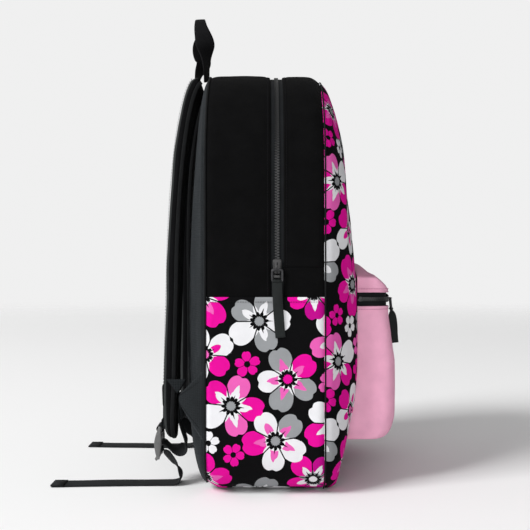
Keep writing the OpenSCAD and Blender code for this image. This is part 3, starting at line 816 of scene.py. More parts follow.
def side_pockets():
    """Flat slip pockets: printed cloth with a folded, topstitched top hem, a little slack in the middle."""
    stitch_z = HEM_Z - 5 * MM

    def out(y, z):
        slack = pillow(y, FRONT_Y, BACK_Y, 1.0 * MM) * np.clip((z - 20 * MM) / HEM_Z, 0, 1)
        fold = 0.45 * MM * np.clip((z - stitch_z + 1.2 * MM) / (0.8 * MM), 0, 1)
        groove = 0.45 * MM * bell(z - stitch_z, 0.8 * MM)
        return 1.5 * MM + slack + fold - groove - seam_dip(y, [FRONT_Y, BACK_Y], 3 * MM, 2.6 * MM)

    y = np.linspace(FRONT_Y + 1 * MM, BACK_Y - 1 * MM, 60)
    z = np.full(60, stitch_z)
    for side, name in SIDES:
        cloth = arch_sheet(f"side_pocket_{name}_cloth",
                           s_range(arch_s(BOTTOM_SEAM_Z - 3 * MM, side), arch_s(HEM_Z, side), 2.0 * MM),
                           across(FRONT_Y, BACK_Y), out, M["print"], M["lining"], thick=1.1 * MM,
                           ripple=0.9 * MM, seed=7.0 + side, pucker=(FRONT_Y, BACK_Y))
        hem = stitches(f"side_pocket_{name}_hem",
                       np.stack([side * (BAG_HALF + out(y, z) + 0.35 * MM), y, z], 1),
                       np.tile([side, 0, 0], (60, 1)), M["thread_black"], pitch=2.6 * MM, length=2.0 * MM,
                       r=0.22 * MM)
        place(cloth, "floral_print", "bag", f"side_pocket_{name}")
        place(hem, "floral_print", "bag")


# ---------- domed panels ----------

def dome_grid(profile, y0, bulge, rings=46, cap_rings=14, belly=0.0):
    """Rings of points from the seam to the middle of a domed panel. profile holds the share of the bulge and
    the insets in mm of the sides, the top and the bottom, as rows that the dome passes through. belly is how
    far its middle stands out past the last of them."""
    share, *insets = np.array(profile, float).T
    k = np.linspace(0, 1, len(share))
    u = np.linspace(0, 1, rings) ** 1.15
    grid = []
    for s, a, t, b in zip(smooth(k, share, u), *(smooth(k, v * MM, u) for v in insets)):
        outline = arched(BAG_HALF - a, b, BAG_H - t, TOP_R - a * 0.8, BOTTOM_R)
        grid.append(np.stack([outline[:, 0], np.full(len(outline), y0 + bulge * s), outline[:, 1]], 1))
    last = grid[-1]
    centre = np.array([0, last[0, 1], (last[:, 2].min() + last[:, 2].max()) / 2])
    for c in np.linspace(0, 0.93, cap_rings + 1)[1:]:
        ring = last * (1 - c) + centre * c
        ring[:, 1] = last[:, 1] + math.copysign(belly, bulge) * (1 - (1 - c) ** 2)
        grid.append(ring)
    grid = np.array(grid)
    # The cloth turns in at the seam.
    grid[0, :, 1] -= math.copysign(1.2 * MM, bulge)
    return grid


FRONT_PROFILE = [
    (0, 0, 6, 0), (0.16, 2.5, 13, 0.5), (0.34, 8, 29, 2), (0.64, 20, 72, 34), (0.75, 26, 114, 52),
    (0.93, 36, 160, 74), (1, 42, 190, 92),
]
BACK_PROFILE = [(0, 0, 0, 7), (0.14, 3, 6, 8.5), (0.3, 9, 14, 12), (0.56, 27, 60, 23), (0.82, 50, 115, 60),
                (1, 85, 190, 130),]


def panel_from_rings(name, grid, mat, inner, thick, ripple, seed, flip):
    """Cloth over a dome's rings, rippled and gathered near its seam. The print spreads with the dome's
    slope."""
    rows, cols = grid.shape[:2]
    pts = grid.reshape(-1, 3).copy()
    ring = np.repeat(np.arange(rows), cols)
    folds = (wobble(pts * np.array([1, 1, 0.5]), 55 * MM, ripple, seed)
             + wobble(pts, 17 * MM, ripple * 0.22, seed + 3))
    along = np.tile(np.linspace(0, 1, cols, endpoint=False) * ARCH.length, rows)
    gathers = 0.3 * MM * np.sin(along * TAU / (8 * MM) + 2 * np.sin(along * 47)) * bell(ring - 4, 3.0)
    pts[:, 1] += folds * np.clip(ring / 8.0, 0, 1) + gathers
    uv = pts[:, [0, 2]].copy()
    uv[:, 1] += 0.02
    outward = uv - np.array([0, (pts[:, 2].min() + pts[:, 2].max()) / 2])
    outward[:, 1] *= 0.6
    outward /= np.maximum(np.linalg.norm(outward, axis=1, keepdims=True), 1e-6)
    height = np.abs(grid[:, :, 1] - grid[0, :, 1][None])
    uv = uv + outward * (height[-1, 0] - height).reshape(-1, 1) * 0.55
    faces = grid_faces(rows, cols, wrap_cols=True) + caps(rows, cols)[1:]
    obj = new_mesh(name, pts, flipped(faces) if flip else faces, uv, [mat, inner])
    if thick:
        modify(obj, "SOLIDIFY", thickness=thick, offset=-1, material_offset=1)
    return obj


def front_panel():
    """The printed front, which folds down from the zipper's lower ends."""
    obj = panel_from_rings("front_panel_cloth", dome_grid(FRONT_PROFILE, FRONT_Y, -FRONT_BULGE), M["print"],
                           M["lining"], CLOTH, 1.1 * MM, 21.0, flip=False)
    place(obj, "floral_print", FOLD, "front_panel_base", "front_panel_top")


def back_panel():
    """The padded back: a closed pad swollen by cloth pressure, held at its seam."""
    grid = dome_grid(BACK_PROFILE, BACK_Y, BACK_BULGE - 2 * MM, rings=30, cap_rings=10, belly=1.0 * MM)
    pad = panel_from_rings("back_panel_pad", grid, M["back"], M["lining"], 0, 0.8 * MM, 31.0, flip=True)
    inflate(pad, lambda p: np.clip((p[:, 1] - BACK_Y - 1 * MM) / (6 * MM), 0, 1), pressure=4.0,
            cap=2.5 * MM)
    place(pad, "back_mesh", "bag", "back_panel_cover", "back_panel_foam")
    grid = dome_grid([(0, 2, 2, 10.5), (1, 60, 60, 60)], BACK_Y - 1.0 * MM, -0.6 * MM, rings=8, cap_rings=6)
    lining = panel_from_rings("back_lining_cloth", grid, M["lining"], M["lining"], 0.5 * MM, 0.3 * MM, 33.0,
                              flip=False)
    place(lining, "lining", "bag", "back_panel_lining")


def inflate(obj, freedom, pressure, cap, frames_run=20):
    """Swells a panel with cloth pressure, by cap at most. freedom(points) is 0 where it is held and 1 where
    it may move."""
    rest = np.array([v.co for v in obj.data.vertices])
    group = obj.vertex_groups.new(name="held")
    for i, held in enumerate(1 - freedom(rest)):
        if held > 0.01:
            group.add([i], float(held), "REPLACE")
    mod = obj.modifiers.new("swell", "CLOTH")
    s = mod.settings
    s.use_pressure = True
    s.uniform_pressure_force = pressure
    s.vertex_group_mass = "held"
    s.quality = 6
    s.mass = 0.3
    s.tension_stiffness = s.compression_stiffness = 25
    s.bending_stiffness = 4
    s.effector_weights.gravity = 0
    mod.collision_settings.use_collision = False
    mod.point_cache.frame_start, mod.point_cache.frame_end = 1, frames_run
    scene = bpy.context.scene
    for f in range(1, frames_run + 1):
        scene.frame_set(f)
    graph = bpy.context.evaluated_depsgraph_get()
    step = np.array([v.co for v in obj.evaluated_get(graph).data.vertices]) - rest
    obj.modifiers.clear()
    scene.frame_set(1)
    step *= np.minimum(1, cap / np.maximum(np.linalg.norm(step, axis=1, keepdims=True), 1e-9))
    obj.data.vertices.foreach_set("co", (rest + step).astype(np.float32).ravel())
    obj.data.update()


# ---------- main zipper ----------

TEETH_PITCH = 2.9 * MM


def tooth_points(length, half, height):
    """One moulded tooth: a body on the tape and a narrower head that reaches over the middle."""
    body = [(-0.5, 0.0), (-0.5, 0.62), (-0.3, 0.8), (-0.42, 1.0), (0.42, 1.0), (0.3, 0.8), (0.5, 0.62),
            (0.5, 0.0)]
    low = [(a * length, b * half, 0.0) for a, b in body]
    high = [(a * length * 0.8, b * half * 0.96 + 0.04 * half, height) for a, b in body]
    return np.array(low + high), caps(2, len(body)) + grid_faces(2, len(body), wrap_cols=True)


def teeth_row(name, centres, tangents, normals, inward, half=2.7 * MM, height=1.0 * MM, root=2.3 * MM):
    """A row of teeth. Each stands with its root out at the tape and its head over the chain's middle line."""
    shape, shape_faces = tooth_points(TEETH_PITCH * 0.62, half, height)
    verts, faces = [], []
    for c, t, n in zip(centres, tangents, normals):
        faces += [tuple(len(verts) + i for i in f) for f in shape_faces]
        verts += [c + t * a + inward * (root - b) + n * h for a, b, h in shape]
    return new_mesh(name, verts, faces, None, [M["teeth"]], smooth_shade=False)


def arch_frame(s, y, out):
    """Points on the arch at the lengths s, with tangent and outward normal, in 3-D."""
    xz, t, nrm = arch_at(s)
    zero = np.zeros(len(s))
    p = np.stack([xz[:, 0] + nrm[:, 0] * out, zero + y, xz[:, 1] + nrm[:, 1] * out], 1)
    return p, np.stack([t[:, 0], zero, t[:, 1]], 1), np.stack([nrm[:, 0], zero, nrm[:, 1]], 1)


def main_zipper():
    """The zipper over the arch: two tapes, two rows of teeth, and the stops and fixed tape ends below."""
    start, stop = over_top(ZIP_END_Z)
    out, band, tape_z = -2.1 * MM, 8 * MM, HEM_Z - 6 * MM
    look = dict(out=out, mat=M["tape"], inner=M["tape"], thick=0.7 * MM)
    for name, y0, y1, stretch, sign, body in (
            ("rear", ZIP_Y + 0.5 * MM, ZIP_REAR_Y + band, over_top(tape_z), 1, "bag"),
            ("front", ZIP_FRONT_Y - band, ZIP_Y - 0.5 * MM, (start, stop), -1, FOLD)):
        tape = arch_sheet(f"main_tape_{name}_cloth", s_range(*stretch, 3 * MM), np.linspace(y0, y1, 7),
                          ripple=0.1 * MM, seed=9.0, **look)
        s = np.arange(start + 2 * MM, stop - 2 * MM, TEETH_PITCH) + (TEETH_PITCH / 2 if sign > 0 else 0)
        teeth = teeth_row(f"main_teeth_{name}_chain", *arch_frame(s, ZIP_Y, out), np.array([0, sign, 0]),
                          height=1.7 * MM)
        place(tape, "zipper_tape", body, f"main_tape_{name}")
        place(teeth, "zipper_teeth", body, f"main_teeth_{name}")
    ends, stops = [], []
    z = (lo("main_stops").z + hi("main_stops").z) / 2
    for side, _ in SIDES:
        ends.append(arch_sheet(f"tape_end_{side}",
                               s_range(arch_s(tape_z, side), arch_s(ZIP_END_Z, side), 3 * MM),
                               np.linspace(ZIP_FRONT_Y - band, ZIP_Y - 0.3 * MM, 7), ripple=0.05 * MM, **look))
        stops.append(block(f"stop_{side}", (side * (BAG_HALF - 1.1 * MM), ZIP_Y, z),
                           (2.0 * MM, 7.6 * MM, 3.6 * MM), M["slider"], 0.7 * MM))
    place(join("main_tape_ends_cloth", ends), "zipper_tape", "bag", "main_tape_ends")
    place(join("main_stops_metal", stops), "slider_metal", "bag", "main_stops")
    gusset_stitching()


def gusset_stitching():
    """Topstitching along both folded edges of the zipper opening."""
    for name, y, z, body in (("rear", ZIP_REAR_Y + 3 * MM, HEM_Z + 2 * MM, "bag"),
                             ("front", ZIP_FRONT_Y - 3 * MM, ZIP_END_Z, FOLD)):
        p, _, nrm = arch_frame(s_range(*over_top(z), 2 * MM), y, 0.1 * MM)
        row = stitches(f"zipper_stitching_{name}", p, nrm, M["thread_black"], pitch=3.0 * MM, r=0.28 * MM)
        place(row, "black_canvas", body)


# ---------- sliders and pulls ----------

def slider(name, body, along, across_dir, outward, origin):
    """A zipper slider: two shield-shaped plates, the wedge between them and an arched bridge for the pull.
    origin is its low end on the chain's middle line, at the outer fabric."""
    u, v, n, o = (np.array(a, float) for a in (along, across_dir, outward, origin))
    length = 15 * MM

    def shield(low, high):
        edge = [(t * length, (3.3 * MM + 1.5 * MM * math.sin(math.pi * min(t * 1.15, 1.0) * 0.5))
                 * (1 if 0.04 < t < 0.96 else 0.72)) for t in np.linspace(0, 1, 13)]
        pts = edge + [(a, -w) for a, w in edge[::-1]]
        verts = [o + u * a + v * w + n * h for h in (low, high) for a, w in pts]
        obj = new_mesh(name + "_plate", verts, caps(2, len(pts)) + grid_faces(2, len(pts), wrap_cols=True),
                       None, [M["slider"]])
        modify(obj, "BEVEL", width=0.35 * MM, segments=3)
        return obj

    parts = [shield(-0.2 * MM, 1.3 * MM), shield(-4.9 * MM, -3.6 * MM)]
    for sign in (1, -1):
        rim = [o + u * (1.4 * MM + t * 12 * MM) + v * sign * (2.7 + 1.1 * t) * MM + n * 1.3 * MM
               for t in np.linspace(0, 1, 8)]
        parts.append(tube(name + "_rim", rim, round_profile(0.45 * MM, 8), n, M["slider"]))
    bridge = [o + u * (1.6 * MM + 9.0 * MM * t) + n * (1.1 * MM + 3.4 * MM * math.sin(math.pi * t) ** 0.55)
              for t in np.linspace(0, 1, 15)]
    parts.append(tube(name + "_bridge", bridge, flat_profile(3.0 * MM, 1.0 * MM, 0.4 * MM), v, M["slider"]))
    place(join(name + "_metal", parts), "slider_metal", body, name)


def ring_and_ribbon(name, across_dir, out_dir, ribbon_len, lean, turn, tilt):
    """The pull: a flat metal ring hanging from the bridge, tilt degrees outwards, and a folded ribbon through
    it."""
    low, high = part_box(name + "_ring")
    o = np.array([(low.x + high.x) / 2, (low.y + high.y) / 2, high.z - 0.95 * MM])
    a, n, plumb = (np.array(d, float) for d in (across_dir, out_dir, (0, 0, -1)))
    c, s = math.cos(math.radians(tilt)), math.sin(math.radians(tilt))
    n, down = n * c - plumb * s, plumb * c + n * s
    half, length, corner = 5.2 * MM, 11.6 * MM, 1.8 * MM
    loop = []
    for x, y, first in ((-half, 0, 180), (half, 0, 270), (half, length, 0), (-half, length, 90)):
        cx, cy = x - math.copysign(corner, x), y + (corner if y == 0 else -corner)
        for t in np.radians(np.linspace(first, first + 90, 6)):
            loop.append(o + a * (cx + corner * math.cos(t)) + down * (cy + corner * math.sin(t)))
    ring = tube(name + "_ring", loop, flat_profile(2.5 * MM, 1.5 * MM, 0.45 * MM), n, M["ring"], closed=True)

    # Ribbon: round the ring's lower bar, with a row of thread under it, then hanging free.
    centre, face = [], []
    for t in np.linspace(0, 1, 26):
        twist = turn * (1 - math.exp(-9 * t))
        sway = a * lean * t ** 1.6 + n * (0.6 * MM * math.sin(t * 5))
        centre.append(o + down * (length + 1 * MM + (ribbon_len - 1 * MM) * t) + sway)
        face.append(np.cross(a * math.cos(twist) + n * math.sin(twist), down))
    parts = [tube(name + "_strip", centre, flat_profile(10.4 * MM, 1.8 * MM, 0.6 * MM), np.array(face),
                  M["ribbon"])]
    for drop, reach, steps, profile, mat in ((0, 4.7 * MM, 4, round_profile(1.75 * MM, 14), "ribbon"),
                                             (4.2 * MM, 4.6 * MM, 12, round_profile(0.28 * MM, 6),
                                              "thread_black")):
        middle = o + down * (length + drop)
        pts = np.linspace(middle - a * reach, middle + a * reach, steps)
        parts.append(tube(name + "_bar", pts, profile, n, M[mat]))
    place(ring, "ring_metal", name, name + "_ring")
    place(join(name + "_ribbon", parts), "ribbon", name, name + "_ribbon")


def sliders():
    """Both sliders with their pulls. The main one is parked on the left, the pocket's near its left
    corner."""
    slider("main_slider", "main_slider", (0, 0, 1), (0, 1, 0), (-1, 0, 0),
           (-BAG_HALF, ZIP_Y, lo("main_slider").z))
    ring_and_ribbon("main_pull", (0, -1, 0), (-1, 0, 0), 58 * MM, 3.5 * MM, 0.0, 0)
    park = (lo("pocket_slider") + hi("pocket_slider")) / 2
    slider("pocket_slider", "pocket_slider", (1, 0, 0), (0, 0, 1), (0, -1, 0),
           (park.x - 7.5 * MM, POCKET_Y, park.z))
    ring_and_ribbon("pocket_pull", (1, 0, 0), (0, -1, 0), 38 * MM, -2 * MM, 1.15, 6)


# ---------- front pocket ----------

POCKET_HALF = hi("pocket_body").x
POCKET_BELLY_Y = lo("pocket_body").y
POCKET_Y = lo("pocket_top").y
POCKET_Z0 = lo("pocket_body").z
POCKET_LIP0 = hi("pocket_body").z
POCKET_LIP1 = lo("pocket_top").z
POCKET_TOP = hi("pocket_top").z
POCKET_R = 18 * MM
POCKET_BELLY_Z = 130 * MM
POCKET_HEM = 12 * MM
LIP_STITCH = 3.2 * MM


def pocket_belly(z):
    """How far the pocket's front stands before its lip, at the height z (negative: forwards)."""
    share = smooth([0, POCKET_BELLY_Z, (POCKET_BELLY_Z + POCKET_LIP0) / 2, POCKET_LIP0, 1],
                   [1, 1, 0.55, 0, 0], [z])
    return (POCKET_BELLY_Y - POCKET_Y) * float(share[0])


def pocket_depth(p):
    """0 at the pocket's front and 1 at the panel."""
    return np.clip((p[:, 1] - POCKET_Y) / (PANEL_Y - POCKET_Y), 0, 1)


def pocket_outline(side_in, front_in, back, r=POCKET_R):
    """The pocket seen from above: left rear edge, round the front, to the right rear edge. Always as many
    points."""
    half, y = POCKET_HALF - side_in, POCKET_Y + front_in
    left = np.concatenate([line((-half, back), (-half, y + r), 14), arc(-half + r, y + r, r, 180, 270, 12),
                           line((-half + r, y), (0, y), 36)])
    return both_sides(left, (0, y))


def outline_normals(p):
    t = unit(np.gradient(p, axis=0))
    return np.stack([-t[:, 1], t[:, 0]], 1)


def pocket_rise(p, z, amount=1.0):
    """How the pocket's cloth bellies out: most in the middle of the front, with soft upright folds."""
    mid = np.clip((z - POCKET_Z0) / (POCKET_LIP0 - POCKET_Z0), 0, 1)
    front = 0.8 * MM * np.sin(math.pi * mid) ** 0.8 * np.clip(1 - (np.abs(p[:, 0]) / POCKET_HALF) ** 6, 0, 1)
    side = 2.2 * MM * np.sin(math.pi * pocket_depth(p)) * np.sin(math.pi * mid)
    folds = (wobble(raised(p, z * 0.4), 20 * MM, 1.5 * MM, 51.0)
             * np.sin(math.pi * np.clip(mid, 0.02, 0.98)) ** 0.5)
    return (front + side + folds + wobble(raised(p, z), 10 * MM, 0.35 * MM, 57.0)) * amount


def pocket():
    pocket_body()
    pocket_top()
    pocket_zipper()


def pocket_body():
    """The pink pocket below the zipper: its front and sides, its rounded toe and its underside."""
    toe, toe_z, tuck, back = 16 * MM, 33 * MM, 5 * MM, PANEL_Y + 14 * MM
    levels = [(z, 0.0, pocket_belly(z)) for z in np.linspace(POCKET_LIP0, POCKET_Z0 + toe_z, 46)[:-1]]
    belly = pocket_belly(POCKET_Z0)
    for a in np.radians(np.linspace(0, 90, 14)):
        turn = 1 - math.cos(a)
        levels.append((POCKET_Z0 + toe_z * (1 - math.sin(a)), tuck * turn, belly + toe * turn))
    under = (PANEL_Y + 3 * MM - POCKET_Y - belly - toe) * 0.96
    for k in np.linspace(0.1, 1, 8):
        levels.append((POCKET_Z0 + 0.4 * MM * k, tuck + 1 * MM * k, belly + toe + under * k))
    rows, uvs, length = [], [], 0.0
    for z, side_in, front_in in levels:
        r = max(4 * MM, POCKET_R - front_in * 0.2)
        p = pocket_outline(side_in, min(front_in, back - POCKET_Y - r - 1 * MM), back, r)
        hem = min(1, (POCKET_LIP0 - z) / POCKET_HEM)
        rise = pocket_rise(p, z, hem) if z > POCKET_Z0 + 1 * MM else np.zeros(len(p))
        rise = rise - 0.5 * MM * bell(POCKET_LIP0 - z - LIP_STITCH, 0.9 * MM) - fold_in(z, POCKET_LIP0)
        rows.append(raised(p + outline_normals(p) * rise[:, None], z))
        middle = len(p) // 2
        length += np.linalg.norm(rows[-1][middle] - rows[-2][middle]) if len(rows) > 1 else 0
        uvs.append(np.stack([lengths(p), np.full(len(p), -length)], 1))
    body = sheet("pocket_body_cloth", np.array(rows), np.array(uvs), M["pink"], 1.2 * MM, M["lining"],
                 flip=True)
    place(body, "pink_canvas", "bag", "pocket_body")


def pocket_top():
    """The pocket's sloping top: a short upright hem, then gores at the sides and a roof back to the panel."""
    lap, hem_top = 1 * MM, POCKET_LIP1 + 3 * MM
    side_top, peak = POCKET_TOP - 10 * MM, POCKET_TOP + 5.5 * MM

    def roof_z(d, t):
        middle = (peak - side_top) * ease(np.clip((d - 0.15) / 0.75, 0, 1)) * math.sin(t * math.pi / 2)
        return hem_top + (side_top - hem_top) * np.clip(d / 0.4, 0, 1) ** 0.8 + middle

    base = pocket_outline(0, 0, PANEL_Y - 0.5 * MM)
    nrm, depth = outline_normals(base), pocket_depth(base)
    inward = np.stack([base[:, 0] * 0.3, np.full(len(base), PANEL_Y - 0.5 * MM)], 1) - base
    reach = np.linalg.norm(inward, axis=1, keepdims=True)
    inward = inward / np.maximum(reach, 1e-6)
    roof = roof_z(depth, 0)
    rows = []
    for t in np.linspace(0, 1, 16):
        z = np.minimum(POCKET_LIP1 + (roof - POCKET_LIP1) * t, roof - lap * t)
        rise = (1.2 * MM * np.sin(math.pi * t) * depth - fold_in(z, POCKET_LIP1)
                - 0.5 * MM * bell(z - POCKET_LIP1 - LIP_STITCH, 0.9 * MM))
        rows.append(raised(base + nrm * rise[:, None] + inward * (lap * max(0, t - 0.7) / 0.3), z))
    for t in np.concatenate([np.linspace(0.03, 0.15, 4), np.linspace(0.2, 1, 14)]):
        q = base + inward * (lap + (reach - lap) * t)
        d = pocket_depth(q)
        z = roof_z(d, t)
        rows.append(raised(q, z + wobble(raised(q, z), 24 * MM, 1.2 * MM, 61.0) * min(1, t * 5)
                           * (1 - d ** 6)))
    grid = np.array(rows)
    run = np.cumsum(np.linalg.norm(np.diff(grid, axis=0, prepend=grid[:1]), axis=2), axis=0)
    uv = np.stack(np.broadcast_arrays(lengths(base)[None], run), -1)
    place(sheet("pocket_top_cloth", grid, uv, M["pink"], 1.0 * MM, M["lining"]), "pink_canvas", "bag",
          "pocket_top")


def pocket_zipper():
    """The band of two tapes with the chain on their inner side, its stops, and the stitching above and
    below."""
    zip_z = (POCKET_LIP0 + POCKET_LIP1) / 2
    base = pocket_outline(2.0 * MM, 2.0 * MM, PANEL_Y + 1 * MM, POCKET_R - 2 * MM)
    path, pitch, slit = Path(base), TEETH_PITCH * 0.8, 0.12 * MM
    for name, z0, z1, sign in (("lower", zip_z - 12 * MM, zip_z - slit, -1),
                               ("upper", zip_z + slit, POCKET_LIP1 + 4 * MM, 1)):
        zs = np.linspace(z0, z1, 6)
        uv = np.stack(np.broadcast_arrays(path.s[None], zs[:, None]), -1)
        tape = sheet(f"pocket_tape_{name}_cloth", np.stack([raised(base, z) for z in zs]), uv, M["tape"],
                     0.6 * MM, M["tape"])
        s = np.arange(3 * MM, path.length - 3 * MM, pitch) + (pitch / 2 if sign > 0 else 0)
        t = path.tangent(s)
        nrm = raised(np.stack([t[:, 1], -t[:, 0]], 1), 0)
        teeth = teeth_row(f"pocket_teeth_{name}_chain", raised(path.at(s), zip_z) + nrm * 0.7 * MM,
                          raised(t, 0), nrm, np.array([0, 0, sign]), half=2.6 * MM, height=0.8 * MM,
                          root=2.2 * MM)
        place(tape, "zipper_tape", "bag", f"pocket_tape_{name}")
        place(teeth, "zipper_teeth", "bag", f"pocket_teeth_{name}")
    stops = [block(f"pocket_stop_{side}", (side * (POCKET_HALF - 1.4 * MM), PANEL_Y - 4 * MM, zip_z),
                   (1.4 * MM, 3.0 * MM, 5.6 * MM), M["teeth"], 0.5 * MM) for side, _ in SIDES]
    place(join("pocket_stops_metal", stops), "slider_metal", "bag", "pocket_stops")
    for name, z in (("lower", POCKET_LIP0 - LIP_STITCH), ("upper", POCKET_LIP1 + LIP_STITCH)):
        low = name == "lower"
        p = pocket_outline(-0.1 * MM, (pocket_belly(z) if low else 0) - 0.1 * MM, PANEL_Y - 1 * MM)
        rise = pocket_rise(p, z, LIP_STITCH / POCKET_HEM) if low else np.zeros(len(p))
        nrm = outline_normals(p)
        row = stitches(f"pocket_stitching_{name}", raised(p + nrm * (rise - 0.35 * MM)[:, None], z),
                       raised(nrm, 0), M["thread_pink"], pitch=2.8 * MM, length=2.1 * MM, r=0.28 * MM)
        place(row, "pink_canvas", "bag")


# ---------- inside ----------

def inside():
    """Seam bindings and the padded sleeve, seen when the bag is open."""
    everywhere = np.linspace(0, ARCH.length, 260)
    for name, y0, y1, body, nodes in (
            ("rear", BACK_Y - 9 * MM, BACK_Y - 2.5 * MM, "bag", ["rear_seam_binding"]),
            ("front", FRONT_Y + 0.8 * MM, FRONT_Y + 7 * MM, FOLD,
             ["front_seam_binding_base", "front_seam_binding_top"])):
        tape = arch_sheet(f"{name}_seam_binding_tape", everywhere, np.linspace(y0, y1, 6), -2.6 * MM,
                          M["binding"], M["binding"], thick=0.9 * MM, ripple=0.3 * MM, seed=71.0)
        place(tape, "binding", body, *nodes)
    a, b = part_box("inner_sleeve")
    x, z = np.meshgrid(np.linspace(a.x, b.x, 70), np.linspace(a.z, b.z, 70))
    y = (a.y + 6 * MM * (1 - np.clip(1 - (x / b.x) ** 2, 0, 1))
         + 1.2 * MM * np.clip(1 - (z - a.z) / (b.z - a.z), 0, 1))
    y = y + wobble(np.stack([x, y, z], -1).reshape(-1, 3), 50 * MM, 0.7 * MM, 73.0).reshape(y.shape)
    sleeve = sheet("inner_sleeve_cloth", np.stack([x, y, z], -1), np.stack([x, z], -1), M["lining"], 2.4 * MM,
                   M["lining"])
    place(sleeve, "lining", "bag", "inner_sleeve")
    rim = np.stack([x[-1], y[-1] + 1.2 * MM, z[-1]], 1)
    strip = tube("inner_sleeve_binding_tape", rim, flat_profile(3.4 * MM, 7 * MM, 1.5 * MM), (0, 0, 1),
                 M["binding"])
    place(strip, "binding", "bag", "sleeve_binding")


# ---------- carry handle ----------

# Shares of the handle's height with its width, turn in degrees and place in y there, and how much further
# back the far leg is. Lengths are in mm.
HANDLE = np.array([
    (-0.1, 22, 80, 66, 4), (0.0, 22, 80, 66, 14), (0.12, 23, 79, 66, 19), (0.33, 23, 60, 66.5, 16),
    (0.5, 25, 30, 67, 10), (0.65, 20, 8, 70, 10.5), (0.8, 16, 0, 73, 9), (1.0, 11.5, 0, 75, 0),
])


def carry_handle():
    """A webbing loop. Its roots lie flat along the seam, it turns edge-on as it rises, and it is folded
    lengthwise to a narrow grip at the top. The far leg hangs a little further back."""
    a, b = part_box("carry_handle")
    half, top, root_z = b.x - 4 * MM, b.z - 1.4 * MM, a.z
    r = 27 * MM
    knee = (-half, root_z + 14 * MM)
    left = np.concatenate([line((-half + 6 * MM, root_z - 5 * MM), knee, 12),
                           line(knee, (-half, top - r), 12), arc(-half + r, top - r, r, 180, 90, 18),
                           line((-half + r, top), (0, top), 8)])
    x, z = both_sides(left, (0, top)).T
    high = (z - root_z) / (top - root_z)
    levels, widths, turns, ys, skews = HANDLE.T
    width = np.interp(high, levels, widths * MM)
    turn = np.radians(smooth(levels, turns, high) + 14 * np.sin(math.pi * np.clip(high, 0, 1)) * (x > 0))
    y = smooth(levels, ys * MM, high) + smooth(levels, skews * MM, high) * np.clip(x / half, 0, 1)
    path = np.stack([x, y, z], 1)
    t = unit(np.gradient(path, axis=0))
    out = unit(np.stack([-t[:, 2], np.zeros(len(t)), t[:, 0]], 1))
    side = np.cross(out, t)
    c, s = np.cos(turn)[:, None], (np.sin(turn) * np.where(x < 0, 1, -1))[:, None]
    side, out = side * c + out * s, out * c - side * s
    prof = flat_profile(1.0, 0.1, 0.05, 4)
    fold = ease(np.clip((high - 0.5) / 0.3, 0, 1))
    thick = 2.2 * MM + 2.8 * MM * fold
    curl = 2.0 * MM * (1 - fold) * np.cos(turn) + 3.4 * MM * fold
    px = prof[:, 0] * width[:, None]
    py = prof[:, 1] * 10 * thick[:, None] - curl[:, None] * (prof[:, 0] * 2) ** 2
    verts = path[:, None] + side[:, None] * px[..., None] + out[:, None] * py[..., None]
    n, m = px.shape
    uv = np.stack(np.broadcast_arrays(lengths(path)[:, None], px), -1)
    obj = new_mesh("carry_handle_webbing", verts.reshape(-1, 3),
                   grid_faces(n, m, wrap_cols=True) + caps(n, m), uv.reshape(-1, 2), [M["handle"]])
    fix_normals(obj)
    modify(obj, "SUBSURF", levels=1, render_levels=1)
    bend = (0, 67 * MM, root_z), (0, 67 * MM, root_z + 26 * MM)
    place(obj, "webbing", ("bag", "handle", *bend), "carry_handle")


# ---------- shoulder straps ----------

# Control points of the strap's centre line in y and z, in mm.
STRAP_A = [(72, 448), (91, 437), (100, 330), (100, 230)]
STRAP_B = [(100, 230), (100, 160), (103, 95), (100, 52)]
STRAP_T = 13.2 * MM
STRAP_TOP_X = 50 * MM
STRAP_LOW_X = 98 * MM
STRAP_TOP_Z = 448 * MM
STRAP_TIP_Z = 52 * MM
STRAP_HALF = 33 * MM


def cubic(p, t):
    """Points of the Bezier curve with the control points p, in mm."""
    p, t = np.array(p, float) * MM, t[:, None]
    return (1 - t) ** 3 * p[0] + 3 * (1 - t) ** 2 * t * p[1] + 3 * (1 - t) * t ** 2 * p[2] + t ** 3 * p[3]


def strap_line(side, n=110):
    """The strap's centre line, from its top down, and its half width there."""
    t = np.linspace(0, 1, n // 2)
    yz = np.concatenate([cubic(STRAP_A, t), cubic(STRAP_B, t)[1:]])
    s = np.clip((STRAP_TOP_Z - yz[:, 1]) / (STRAP_TOP_Z - STRAP_TIP_Z), 0, 1)
    x = STRAP_TOP_X + (STRAP_LOW_X - STRAP_TOP_X) * ease(s)
    tip = np.clip((s - 0.93) / 0.07, 0, 1)
    half = (STRAP_HALF - 7 * MM * ease(s)) * np.sqrt(np.maximum(0.06, 1 - 0.92 * tip ** 2))
    return np.stack([side * x, yz[:, 0], yz[:, 1]], 1), half


def strap_at(z, centre, values):
    """Values given along a strap's centre line, read at the height z."""
    return np.interp(z, centre[::-1, 2], values[::-1])


